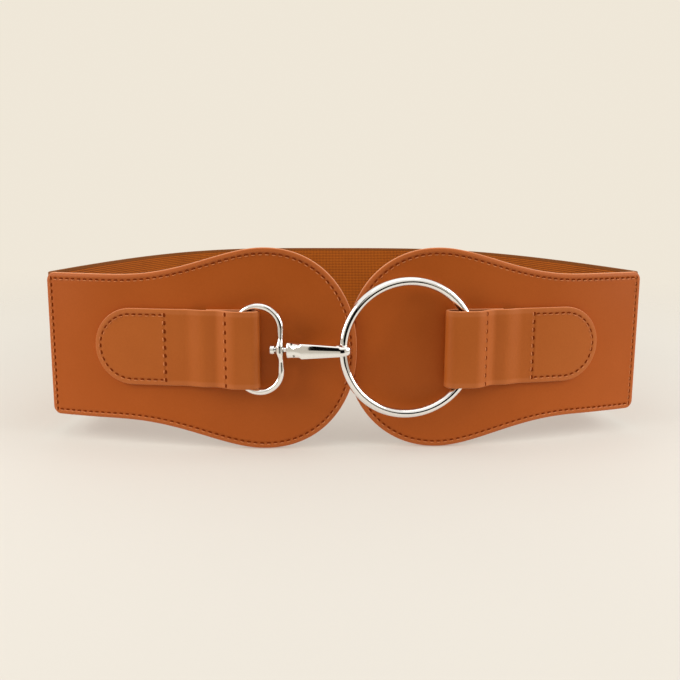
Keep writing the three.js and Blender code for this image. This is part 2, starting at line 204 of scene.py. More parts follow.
def signed_volume(mesh: bpy.types.Mesh) -> float:
    """Volume of a closed mesh, negative if it is inside out."""
    mesh.calc_loop_triangles()
    corners = np.empty(len(mesh.loop_triangles) * 3, np.int32)
    mesh.loop_triangles.foreach_get("vertices", corners)
    at = np.empty(len(mesh.vertices) * 3)
    mesh.vertices.foreach_get("co", at)
    a, b, c = np.moveaxis(at.reshape(-1, 3)[corners.reshape(-1, 3)], 1, 0)
    return float(np.einsum("ij,ij->i", a, np.cross(b, c)).sum() / 6.0)


def distance_to_path(points: Array, path: Array) -> Array:
    """Distance from each 2-D point to a polyline.

    Args:
        points: array of pairs.
        path: the polyline's points.

    Returns:
        One distance for each point.
    """
    start, run = path[:-1], np.diff(path, axis=0)
    length = np.maximum((run**2).sum(1), 1e-12)
    offset = points[:, None, :] - start[None]
    share = np.clip((offset * run[None]).sum(2) / length, 0.0, 1.0)
    gap = offset - share[..., None] * run[None]
    return np.sqrt((gap**2).sum(2).min(1))


@dataclass
class Wall:
    """A thin flexible wall that stands upright along a path in plan (mm).

    A point of the wall is given by its run along the path and its height, and the lift is measured
    from the middle of the wall towards the outer face.
    """

    stance: Stance
    runs: Array
    points: Array
    thickness: float
    rim: float
    middle: float = 0.0

    def place(self, run: Array, height: Array, lift: Array) -> Array:
        """Belt positions of points on the wall."""
        x = np.interp(run, self.runs, self.points[:, 0])
        y = np.interp(run, self.runs, self.points[:, 1])
        across = self.outward(run)
        return np.stack([x + lift * across[..., 0], y + lift * across[..., 1], height + self.middle], -1)

    def outward(self, run: Array) -> Array:
        """Unit directions in plan out of the outer face."""
        tangent = np.gradient(self.points, self.runs, axis=0)
        tx = np.interp(run, self.runs, tangent[:, 0])
        ty = np.interp(run, self.runs, tangent[:, 1])
        size = np.hypot(tx, ty)
        return np.stack([ty / size, -tx / size], axis=-1)

    def skin(
        self,
        name: str,
        columns: Array,
        insets: Array,
        half_at: Callable[[Array], Array],
        outline: Array,
        seams: Sequence[Array],
        relief: Callable[[Array, Array, Array, Array], Array],
    ) -> bpy.types.Mesh:
        """Closed mesh of the wall, with rounded rims.

        Args:
            name: the mesh's name.
            columns: runs of the mesh's columns.
            insets: shares of the half height at which the rows lie, measured from the edge.
            half_at: half height at a run.
            outline: closed outline in run and height.
            seams: stitch lines in run and height.
            relief: extra lift of the outer face from run, height, edge distance and seam distance.

        Returns:
            The mesh, with edge, seam and outer attributes and a UV map in metres.
        """
        rows = np.concatenate([insets - 1.0, (1.0 - insets)[::-1]])
        run, share = np.meshgrid(columns, rows, indexing="ij")
        height = share * half_at(run)
        flat = np.stack([run.ravel(), height.ravel()], axis=-1)
        edge = distance_to_path(flat, outline).reshape(run.shape)
        inner = np.zeros(run.shape, bool)
        inner[1:-1, 1:-1] = True
        edge[~inner] = 0.0
        seam = np.full(run.shape, self.rim * 100.0)
        for line in seams:
            seam = np.minimum(seam, distance_to_path(flat, line).reshape(run.shape))
        turned = 1.0 - np.clip(edge / self.rim, 0.0, 1.0)
        half = self.thickness / 2.0 * np.sqrt(np.maximum(1.0 - turned**2, 0.0))
        front = self.place(run, height, half + relief(run, height, edge, seam))
        back = self.place(run, height, -half)
        front[~inner] = self.place(run, height, np.zeros(run.shape))[~inner]
        index = np.arange(run.size).reshape(run.shape)
        under = index.copy()
        under[inner] = run.size + np.arange(int(inner.sum()))
        points = np.concatenate([front.reshape(-1, 3), back[inner]])
        double = [np.concatenate([v.ravel(), v[inner]]) for v in (run, height, edge, seam)]
        outer = np.concatenate([inner.ravel().astype(float), np.zeros(int(inner.sum()))])
        faces = [*quads(index), *quads(under)[:, ::-1]]
        uv = np.stack([double[0], double[1]], axis=-1) * MM
        values = {"edge": double[2], "seam": double[3], "outer": outer}
        return mesh_from(name, self.stance.apply(points), faces, uv, values)


class MirroredWall(Wall):
    """A wall whose path runs to the left, so that its outer face still looks forward."""

    def outward(self, run: Array) -> Array:
        """Unit directions in plan out of the outer face."""
        return -super().outward(run)


def quads(index: Array) -> Array:
    """Faces of a grid of vertex indices."""
    a, b, c, d = index[:-1, :-1], index[1:, :-1], index[1:, 1:], index[:-1, 1:]
    return np.stack([a.ravel(), b.ravel(), c.ravel(), d.ravel()], axis=-1)


def spread(start: float, end: float, steps: Sequence[float], spacing: float) -> Array:
    """Columns that are close together at both ends and evenly spaced between.

    Args:
        start: first run.
        end: last run.
        steps: distances of the close columns from each end.
        spacing: widest spacing between.

    Returns:
        Ascending runs.
    """
    near = np.array(steps)
    count = max(int((end - start - 2.0 * near[-1]) / spacing), 1)
    middle = np.linspace(start + near[-1], end - near[-1], count + 1)
    return np.unique(np.concatenate([start + near, middle, end - near]).round(5))


def running_length(points: Array) -> Array:
    """Length along a 2-D polyline up to each of its points."""
    return np.concatenate([[0.0], np.cumsum(np.hypot(*np.diff(points, axis=0).T))])


def closed_outline(half_at: Callable[[Array], Array], length: float) -> Array:
    """Closed outline in run and height, with its points closest together at both ends."""
    turn = np.linspace(0.0, math.pi, 420)
    run = length * (1.0 - np.cos(turn)) / 2.0
    top = np.stack([run, half_at(run)], axis=-1)
    return np.concatenate([top, top[::-1] * [1.0, -1.0]])


RIM_STEPS = (
    0.0, 0.06, 0.16, 0.3, 0.46, 0.64, 0.84, 1.05, 1.3, 1.6, 1.9, 2.15, 2.4, 2.65, 2.95, 3.4, 4.0, 4.8,
)
PANEL_ROWS = (6.2, 8.2, 10.6, 13.6, 17.0, 21.0, 25.5, 30.5, 36.0)
STRAP_ROWS = (6.2, 8.2, 10.4, 12.8)
BAND_ROWS = (7.0, 10.0, 14.0, 18.5, 24.0)
SEAM_SPACING = 0.5
# Size and offset of the lighter bead beside each stitch, a painted highlight on the lit lip of the stitch
# hole.
HIGHLIGHT_LIP_SHARES = (0.95, 0.7, 0.85)
HIGHLIGHT_LIP_OFFSET = 0.74
LIT_FROM = np.array([0.35, 0.0, 1.0])


@dataclass(frozen=True)
class Thread:
    """Sizes of one sewn stitch (mm)."""

    pitch: float = 2.72
    length: float = 1.7
    width: float = 0.72
    height: float = 0.5
    slant: float = 4.0
    lift: float = 0.05
    seed: int = 11


class Nodes:
    """Short way of adding linked nodes to a tree."""

    def __init__(self, tree: bpy.types.NodeTree) -> None:
        """Keeps the tree that nodes are added to."""
        self.tree = tree

    def link(self, source: Socket, target: Socket) -> None:
        """Joins two sockets."""
        self.tree.links.new(source, target)

    def fill(self, node: bpy.types.Node, inputs: dict) -> None:
        """Sets or links a node's inputs.

        Args:
            node: the node.
            inputs: values or sockets by input name or index.
        """
        for key, value in inputs.items():
            if isinstance(value, Socket):
                self.link(value, node.inputs[key])
            else:
                node.inputs[key].default_value = value

    def add(self, kind: str, inputs: dict | None = None, **settings: object) -> bpy.types.Node:
        """Adds a node.

        Args:
            kind: the node's type name.
            inputs: values or sockets by input name or index.
            settings: properties of the node.

        Returns:
            The node.
        """
        node = self.tree.nodes.new(kind)
        for key, value in settings.items():
            setattr(node, key, value)
        self.fill(node, inputs or {})
        return node

    def math(self, operation: str, *values: object) -> Socket:
        """Result of a Math node."""
        return self.add("ShaderNodeMath", dict(enumerate(values)), operation=operation).outputs[0]

    def mix(self, share: object, first: object, second: object) -> Socket:
        """Mixes two colours."""
        return self.add("ShaderNodeMix", {0: share, 6: first, 7: second}, data_type="RGBA").outputs[2]

    def ramp(self, value: object, low: float, high: object, start: float = 0.0, end: float = 1.0) -> Socket:
        """Eased way from start to end while the value goes from low to high."""
        inputs = {0: value, 1: low, 2: high, 3: start, 4: end}
        return self.add("ShaderNodeMapRange", inputs, interpolation_type="SMOOTHSTEP").outputs[0]

    def noise(self, at: Socket, scale: float, detail: float) -> Socket:
        """Value of a noise texture."""
        return self.add("ShaderNodeTexNoise", {"Vector": at, "Scale": scale, "Detail": detail}).outputs[0]

    def bump(self, height: Socket, strength: float, distance: float) -> Socket:
        """Normal bent by a height."""
        inputs = {"Strength": strength, "Distance": distance, "Height": height}
        return self.add("ShaderNodeBump", inputs).outputs[0]


def open_group(
    name: str, kind: str, inputs: dict[str, str], outputs: dict[str, str]
) -> tuple[bpy.types.NodeTree, Nodes, bpy.types.NodeOutputs]:
    """Opens a node group.

    Args:
        name: the group's name.
        kind: type of the tree.
        inputs: socket type of each input.
        outputs: socket type of each output.

    Returns:
        The tree, its node helper and the sockets that bring the inputs.
    """
    tree = bpy.data.node_groups.new(name, kind)
    for way, sockets in (("INPUT", inputs), ("OUTPUT", outputs)):
        for label, form in sockets.items():
            tree.interface.new_socket(label, in_out=way, socket_type=f"NodeSocket{form}")
    n = Nodes(tree)
    return tree, n, n.add("NodeGroupInput").outputs


def open_material(name: str) -> tuple[bpy.types.Material, Nodes, bpy.types.Node]:
    """Opens a material.

    Args:
        name: the material's name.

    Returns:
        The material, its node helper and its shader.
    """
    material = bpy.data.materials.new(name)
    material.use_nodes = True
    return material, Nodes(material.node_tree), material.node_tree.nodes["Principled BSDF"]


def dimmed(colour: Colour, share: float) -> Colour:
    """Colour with its light brought down to a share."""
    return (*(share * v for v in colour[:3]), 1.0)


def stitch_tree() -> bpy.types.NodeTree:
    """Geometry Nodes tree that sews a row of stitches along edges, each with a lighter leather bead beside it
    as a painted highlight.

    Returns:
        A tree with inputs for the thread's sizes, its seed and the two materials.
    """
    sizes = dict.fromkeys(("Pitch", "Length", "Width", "Height", "Slant"), "Float")
    inputs = {"Seam": "Geometry", **sizes, "Seed": "Int", "Thread": "Material", "Lip": "Material"}
    tree, n, given = open_group("sewn_row", "GeometryNodeTree", inputs, {"Stitches": "Geometry"})
    curve = n.add("GeometryNodeMeshToCurve", {0: given["Seam"]}).outputs[0]
    spaced = n.add("GeometryNodeResampleCurve", {"Curve": curve, "Length": given["Pitch"]}, mode="LENGTH")
    ball = n.add("GeometryNodeMeshIcoSphere", {"Radius": 0.5, "Subdivisions": 3})
    size = n.add("ShaderNodeCombineXYZ", {0: given["Length"], 1: given["Width"], 2: given["Height"]})
    stitch = n.add("GeometryNodeTransform", {"Geometry": ball.outputs[0], "Scale": size.outputs[0]})
    # A lighter leather bead beside the stitch: a painted highlight on the lip of the hole that the light
    # falls on.
    highlight_bead = n.add("GeometryNodeMeshIcoSphere", {"Radius": 0.5, "Subdivisions": 2})
    highlight_bead_size = n.add("ShaderNodeCombineXYZ", {
        axis: n.math("MULTIPLY", given[name], share)
        for axis, (name, share) in enumerate(zip(("Length", "Width", "Height"), HIGHLIGHT_LIP_SHARES))
    })
    beside = n.add("ShaderNodeCombineXYZ", {1: n.math("MULTIPLY", given["Width"], HIGHLIGHT_LIP_OFFSET)})
    raised = n.add("GeometryNodeTransform", {
        "Geometry": highlight_bead.outputs[0],
        "Translation": beside.outputs[0],
        "Scale": highlight_bead_size.outputs[0],
    })
    # Marks the bead's faces so that they take the painted highlight material.
    marked = n.add("GeometryNodeStoreNamedAttribute", {
        "Geometry": raised.outputs[0],
        "Name": "raised",
    }, data_type="BOOLEAN", domain="FACE")
    next(s for s in marked.inputs if s.name == "Value" and s.enabled).default_value = True
    both = n.add("GeometryNodeJoinGeometry")
    n.link(stitch.outputs[0], both.inputs[0])
    n.link(marked.outputs[0], both.inputs[0])
    normal = n.add("GeometryNodeInputNamedAttribute", {"Name": "outward"}, data_type="FLOAT_VECTOR")
    lit = n.add("GeometryNodeInputNamedAttribute", {"Name": "lip"}, data_type="FLOAT_VECTOR")
    facing = {0: normal.outputs[0], 1: lit.outputs[0]}
    along = n.add("FunctionNodeAxesToRotation", facing, primary_axis="Z", secondary_axis="Y")
    wobble = n.add("FunctionNodeRandomValue", {"Seed": given["Seed"]}, data_type="FLOAT")
    floats = [s for s in wobble.inputs if s.type == "VALUE" and s.enabled]
    floats[0].default_value = -1.0
    floats[1].default_value = 1.0
    chance = next(s for s in wobble.outputs if s.type == "VALUE" and s.enabled)
    angle = n.math("MULTIPLY", chance, given["Slant"])
    spin = n.add("FunctionNodeAxisAngleToRotation", {"Axis": (0.0, 0.0, 1.0), "Angle": angle})
    turns = {0: along.outputs[0], 1: spin.outputs[0]}
    turned = n.add("FunctionNodeRotateRotation", turns, rotation_space="LOCAL")
    rows = n.add("GeometryNodeInstanceOnPoints", {
        "Points": spaced.outputs[0],
        "Instance": both.outputs[0],
        "Rotation": turned.outputs[0],
    })
    solid = n.add("GeometryNodeRealizeInstances", {0: rows.outputs[0]})
    shaded = n.add("GeometryNodeSetShadeSmooth", {0: solid.outputs[0]})
    threaded = n.add("GeometryNodeSetMaterial", {0: shaded.outputs[0], "Material": given["Thread"]})
    highlight_lips = n.add("GeometryNodeInputNamedAttribute", {"Name": "raised"}, data_type="BOOLEAN")
    chosen = next(s for s in highlight_lips.outputs if s.enabled)
    # The bead's faces take the painted highlight material.
    dressed = n.add("GeometryNodeSetMaterial", {
        0: threaded.outputs[0],
        "Selection": chosen,
        "Material": given["Lip"],
    })
    n.add("NodeGroupOutput", {0: dressed.outputs[0]})
    return tree


def grow(
    seed: bpy.types.Object, tree: bpy.types.NodeTree, values: dict[str, object], name: str
) -> bpy.types.Object:
    """Runs a Geometry Nodes tree once and keeps its result as a plain mesh.

    Args:
        seed: the object that the tree reads, removed afterwards.
        tree: the tree.
        values: the tree's inputs by name.
        name: the new object's name.

    Returns:
        The new object.
    """
    modifier = seed.modifiers.new("grow", "NODES")
    modifier.node_group = tree
    for item in tree.interface.items_tree:
        if item.item_type == "SOCKET" and item.in_out == "INPUT" and item.name in values:
            modifier[item.identifier] = values[item.name]
    seed.update_tag()
    graph = bpy.context.evaluated_depsgraph_get()
    mesh = bpy.data.meshes.new_from_object(seed.evaluated_get(graph), depsgraph=graph)
    mesh.name = name
    bpy.data.objects.remove(seed)
    return new_object(name, mesh)


def seam_object(wall: Wall, seams: Sequence[Array], lift: float) -> bpy.types.Object:
    """Edges along seams, each point with the direction out of the surface and to the lip where the painted
    highlight goes.

    Args:
        wall: the wall that is sewn.
        seams: stitch lines in run and height.
        lift: lift of the thread's middle.

    Returns:
        An object of loose edges.
    """
    points, outward, lip, edges = [], [], [], []
    for line in seams:
        start = sum(len(p) for p in points)
        run, height = line[:, 0], line[:, 1]
        at = wall.place(run, height, np.full(run.shape, lift))
        out = np.concatenate([wall.outward(run), np.zeros((len(run), 1))], axis=1)
        across = np.cross(out, np.gradient(at, axis=0))
        across /= np.linalg.norm(across, axis=1)[:, None]
        # The highlight bead goes to the side away from the light, the lip of the stitch hole that the light
        # falls on.
        across *= np.where(across @ LIT_FROM > 0.0, -1.0, 1.0)[:, None]
        points.append(wall.stance.apply(at))
        outward.append(wall.stance.turn(out))
        lip.append(wall.stance.turn(across))
        edges += [(start + i, start + i + 1) for i in range(len(line) - 1)]
    mesh = bpy.data.meshes.new("seam")
    mesh.from_pydata([tuple(p) for p in np.concatenate(points)], edges, [])
    for name, data in (("outward", outward), ("lip", lip)):
        layer = mesh.attributes.new(name, "FLOAT_VECTOR", "POINT")
        layer.data.foreach_set("vector", np.concatenate(data).astype(np.float32).ravel())
    return new_object("seam", mesh)


@dataclass(frozen=True)
class LeatherLook:
    """Finish of a smooth leather surface; colours are linear, widths in millimetres."""

    name: str
    base: Colour
    shade: Colour
    # rim: lighter colour of the rounded edges, partly their own edge paint and partly a painted highlight;
    # the border band takes a little of it too.
    rim: Colour = (0.85, 0.35, 0.155, 1.0)
    lining: Colour = (0.3, 0.085, 0.028, 1.0)
    rim_width: float = 0.34
    rim_paint_and_highlight_weight: float = 0.9
    border_weight: float = 0.1
    # The seam furrow gets painted shade in its colour, besides its real dip in the bump.
    furrow_shade_weight: float = 0.08
    furrow_shade_share: float = 0.45
    furrow_dip: float = -1.2
    roughness: float = 0.43
    spread: float = 0.22
    grain: float = 0.3
    specular: float = 0.16


@dataclass(frozen=True)
class HighlightLipLook:
    """Finish of the lighter bead beside each stitch, a painted highlight on the lit lip of the stitch hole.
    """

    name: str = "stitch_highlight_lip"
    # Lighter than the leather: painted highlight colours.
    base: Colour = (0.7, 0.25, 0.09, 1.0)
    shade: Colour = (0.6, 0.19, 0.06, 1.0)
    roughness: float = 0.43
    specular: float = 0.1


@dataclass(frozen=True)
class ElasticLook:
    """Finish of the woven elastic; colours are linear and pitches in metres."""

    name: str = "woven_elastic"
    yarn: Colour = (0.555, 0.142, 0.009, 1.0)
    gap: Colour = (0.17, 0.034, 0.002, 1.0)
    selvedge: Colour = (0.2, 0.07, 0.014, 1.0)
    selvedge_weight: float = 0.8
    rib: float = 0.00092
    rib_weight: float = 0.55
    pick: float = 0.00085
    pick_weight: float = 0.45
    tone_weight: float = 0.4
    roughness: float = 0.82
    sheen: float = 0.04
    specular: float = 0.15


@dataclass(frozen=True)
class ThreadLook:
    """Finish of the sewing thread."""

    name: str = "sewing_thread"
    base: Colour = (0.25, 0.04, 0.006, 1.0)
    hollow_share: float = 0.7
    roughness: float = 0.7
    twist: float = 2600.0
    specular: float = 0.0


@dataclass(frozen=True)
class ChromeLook:
    """Finish of bright plating."""

    name: str = "bright_plating"
    base: Colour = (0.93, 0.92, 0.9, 1.0)
    tarnish_share: float = 0.9
    roughness: float = 0.035
    smudge: float = 0.03


PANEL_LEATHER = LeatherLook("panel_leather", (0.455, 0.1, 0.0125, 1.0), (0.425, 0.091, 0.0105, 1.0))
STRAP_LEATHER = LeatherLook(
    "strap_leather", (0.475, 0.122, 0.021, 1.0), (0.445, 0.111, 0.0182, 1.0), roughness=0.4, rim_width=0.26
)


def tone_group() -> bpy.types.NodeTree:
    """Shader group that gives soft uneven tone and fine grain from Object coordinates.

    Returns:
        A group with Scale and Depth inputs, and Tone and Height outputs.
    """
    inputs, outputs = ("Scale", "Depth"), ("Tone", "Height")
    tree, n, given = open_group(
        "hide_grain", "ShaderNodeTree", dict.fromkeys(inputs, "Float"), dict.fromkeys(outputs, "Float")
    )
    place = n.add("ShaderNodeTexCoord").outputs["Object"]
    scaled = n.add("ShaderNodeVectorMath", {0: place, "Scale": given["Scale"]}, operation="SCALE")
    at = scaled.outputs[0]
    cloud, fleck, pores = (n.noise(at, *sizes) for sizes in ((28.0, 4.0), (1400.0, 2.0), (3600.0, 3.0)))
    cells = n.add("ShaderNodeTexVoronoi", {"Vector": at, "Scale": 2300.0}, feature="SMOOTH_F1").outputs[0]
    grain = n.math("MULTIPLY_ADD", pores, 0.5, n.math("MULTIPLY", cells, 0.7))
    n.add("NodeGroupOutput", {
        "Tone": n.math("MULTIPLY_ADD", fleck, 0.35, n.math("MULTIPLY", cloud, 0.65)),
        "Height": n.math("MULTIPLY", grain, given["Depth"]),
    })
    return tree


def seam_group() -> bpy.types.NodeTree:
    """Shader group that turns the edge and seam distances into masks.

    Returns:
        A group with Rim Width, and Rim, Furrow, Border and Outer outputs.
    """
    outputs = dict.fromkeys(("Rim", "Furrow", "Border", "Outer"), "Float")
    tree, n, given = open_group("sewn_edge", "ShaderNodeTree", {"Rim Width": "Float"}, outputs)
    edge, seam, outer = (
        n.add("ShaderNodeAttribute", attribute_name=name).outputs["Fac"] for name in ("edge", "seam", "outer")
    )
    n.add("NodeGroupOutput", {
        # Rim picks the rounded edge for its lighter paint and painted highlight.
        "Rim": n.ramp(edge, 0.0, given["Rim Width"], 1.0, 0.0),
        # Furrow marks the seam groove, used for its bump dip and for painted shade.
        "Furrow": n.ramp(seam, 0.15, 0.75, 1.0, 0.0),
        "Border": n.ramp(edge, 1.7, 2.6, 1.0, 0.0),
        "Outer": outer,
    })
    return tree


class Finishes:
    """Builds each material once."""

    def __init__(self) -> None:
        """Builds the shared groups and every finish."""
        self.hide_grain = tone_group()
        self.sewn_edge = seam_group()
        self.panel = self.leather(PANEL_LEATHER)
        self.strap = self.leather(STRAP_LEATHER)
        # Painted highlight beside each stitch.
        self.lip = self.raised(HighlightLipLook())
        self.elastic = self.woven(ElasticLook())
        self.thread = self.sewing(ThreadLook())
        self.chrome = self.plating(ChromeLook())

    def hide(self, n: Nodes, scale: float) -> bpy.types.NodeOutputs:
        """Outputs of the shared grain at a scale."""
        node = n.add("ShaderNodeGroup", node_tree=self.hide_grain)
        n.fill(node, {"Scale": scale, "Depth": 1.0})
        return node.outputs

    def leather(self, look: LeatherLook) -> bpy.types.Material:
        """Smooth leather with sewn, rounded edges; the edges are lighter, partly their own edge paint and
        partly a painted highlight, and the seams carry painted shade.
        """
        material, n, shader = open_material(look.name)
        hide = self.hide(n, 1.0)
        group = n.add("ShaderNodeGroup", node_tree=self.sewn_edge)
        n.fill(group, {"Rim Width": look.rim_width})
        sewn = group.outputs
        face = n.mix(n.ramp(hide["Tone"], 0.36, 0.64), look.shade, look.base)
        lined = n.mix(sewn["Outer"], look.lining, face)
        border = n.mix(n.math("MULTIPLY", sewn["Border"], look.border_weight), lined, look.rim)
        # Lighter rounded edge: partly the edge's own paint, partly a painted highlight.
        rim_paint_and_highlight = n.mix(n.math("MULTIPLY", sewn["Rim"], look.rim_paint_and_highlight_weight), border, look.rim)
        # Painted shade along the seam groove: the colour is darkened where the stitches pull the leather in.
        furrow = n.math("MULTIPLY", sewn["Furrow"], look.furrow_shade_weight)
        dip = n.math("MULTIPLY", sewn["Furrow"], look.furrow_dip)
        height = n.math("MULTIPLY_ADD", hide["Height"], look.grain, dip)
        rough = n.math("MULTIPLY_ADD", hide["Tone"], look.spread, look.roughness - look.spread / 2.0)
        n.fill(shader, {
            "Base Color": n.mix(furrow, rim_paint_and_highlight, dimmed(look.shade, look.furrow_shade_share)),
            "Roughness": rough,
            "Normal": n.bump(height, 0.35, 0.00012),
            "Specular IOR Level": look.specular,
        })
        return material

    def raised(self, look: HighlightLipLook) -> bpy.types.Material:
        """Lighter leather bead beside a stitch: a painted highlight on the lit lip of the stitch hole."""
        material, n, shader = open_material(look.name)
        hide = self.hide(n, 2.0)
        n.fill(shader, {
            "Base Color": n.mix(n.ramp(hide["Tone"], 0.35, 0.65), look.shade, look.base),
            "Normal": n.bump(hide["Height"], 0.3, 0.0001),
            "Roughness": look.roughness,
            "Specular IOR Level": look.specular,
        })
        return material

    def woven(self, look: ElasticLook) -> bpy.types.Material:
        """Elastic woven in ribs, with a denser selvedge along each edge."""
        material, n, shader = open_material(look.name)
        uv = n.add("ShaderNodeSeparateXYZ", {0: n.add("ShaderNodeUVMap", uv_map="UVMap").outputs[0]}).outputs
        edge = n.add("ShaderNodeAttribute", attribute_name="edge").outputs["Fac"]
        hide = self.hide(n, 1.6)
        rib, pick = (
            n.math("MULTIPLY_ADD", n.math("SINE", n.math("MULTIPLY", at, 2 * math.pi / pitch)), 0.5, 0.5)
            for at, pitch in ((uv[1], look.rib), (uv[0], look.pick))
        )
        raised = n.math("MULTIPLY_ADD", rib, look.rib_weight, n.math("MULTIPLY", pick, look.pick_weight))
        level = n.math("SUBTRACT", raised, look.tone_weight / 2.0)
        uneven = n.math("MULTIPLY_ADD", hide["Tone"], look.tone_weight, level)
        weave = n.mix(n.ramp(uneven, 0.12, 0.85), look.gap, look.yarn)
        band = n.math("SUBTRACT", 1.0, n.ramp(edge, 0.9, 1.5))
        n.fill(shader, {
            "Base Color": n.mix(n.math("MULTIPLY", band, look.selvedge_weight), weave, look.selvedge),
            "Normal": n.bump(raised, 0.7, 0.00018),
            "Roughness": look.roughness,
            "Sheen Weight": look.sheen,
            "Specular IOR Level": look.specular,
        })
        return material

    def sewing(self, look: ThreadLook) -> bpy.types.Material:
        """Dark thread with a fine twist."""
        material, n, shader = open_material(look.name)
        place = n.add("ShaderNodeTexCoord").outputs["Object"]
        inputs = {"Vector": place, "Scale": look.twist}
        wave = n.add("ShaderNodeTexWave", inputs, bands_direction="DIAGONAL").outputs[1]
        n.fill(shader, {
            "Base Color": n.mix(wave, dimmed(look.base, look.hollow_share), look.base),
            "Normal": n.bump(wave, 0.5, 0.00005),
            "Roughness": look.roughness,
            "Specular IOR Level": look.specular,
        })
        return material

    def plating(self, look: ChromeLook) -> bpy.types.Material:
        """Polished plating with faint smudges."""
        material, n, shader = open_material(look.name)
        hide = self.hide(n, 1.3)
        tarnish = dimmed(look.base, look.tarnish_share)
        n.fill(shader, {
            "Base Color": n.mix(n.ramp(hide["Tone"], 0.4, 0.7), look.base, tarnish),
            "Roughness": n.math("MULTIPLY_ADD", hide["Tone"], look.smudge, look.roughness - look.smudge / 2),
            "Metallic": 1.0,
        })
        return material


@dataclass
class Sewing:
    """Sews rows on walls with one shared tree."""

    thread: Thread
    material: bpy.types.Material
    # Material of the lighter bead beside each stitch, a painted highlight.
    lip: bpy.types.Material
    tree: bpy.types.NodeTree = field(default_factory=stitch_tree)

    def sew(
        self, name: str, seam: bpy.types.Object, pitch: float | None = None, weight: float = 1.0
    ) -> bpy.types.Object:
        """Turns seam edges into a row of stitches.

        Args:
            name: the new object's name.
            seam: object of loose edges.
            pitch: spacing in millimetres, or None for the thread's own.
            weight: how much wider than usual the thread is, and how much more it slants.

        Returns:
            The stitches as one object.
        """
        values = {
            "Pitch": (pitch or self.thread.pitch) * MM,
            "Length": self.thread.length * MM,
            "Width": self.thread.width * weight * MM,
            "Height": self.thread.height * MM,
            "Slant": math.radians(self.thread.slant * weight**3),
            "Seed": self.thread.seed,
            "Thread": self.material,
            "Lip": self.lip,
        }
        return grow(seam, self.tree, values, name)


def dress(
    obj: bpy.types.Object, material: bpy.types.Material | None, body: str = "root"
) -> None:
    """Gives a piece its finish and its body.

    Args:
        obj: the piece.
        material: its finish, or None where its mesh has one.
        body: the body that it rides on.
    """
    if material is not None:
        obj.data.materials.clear()
        obj.data.materials.append(material)
    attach(obj, body)
    LOG.info("%s: %d faces", obj.name, len(obj.data.polygons))


def inset_line(half_at: Callable[[Array], Array], start: float, end: float, inset: float) -> Array:
    """Line that keeps one distance inside an outline, from the far end over the tip and back.

    Args:
        half_at: half height of the outline at a run.
        start: run of the tip.
        end: run at which the line stops.
        inset: distance from the outline.

    Returns:
        Points in run and height.
    """
    turn = np.linspace(0.0, math.pi, 900)[1:-1]
    run = start + (end + inset - start) * (1.0 - np.cos(turn)) / 2.0
    height = half_at(run)
    slope = np.gradient(height, run)
    size = np.hypot(1.0, slope)
    upper = np.stack([run + inset * slope / size, height - inset / size], axis=-1)
    upper = upper[(upper[:, 0] > start + inset) & (upper[:, 0] < end) & (upper[:, 1] > 0.0)]
    upper = upper[np.argsort(upper[:, 0])]
    return np.concatenate([upper[::-1], [[start + inset, 0.0]], upper * [1.0, -1.0]])


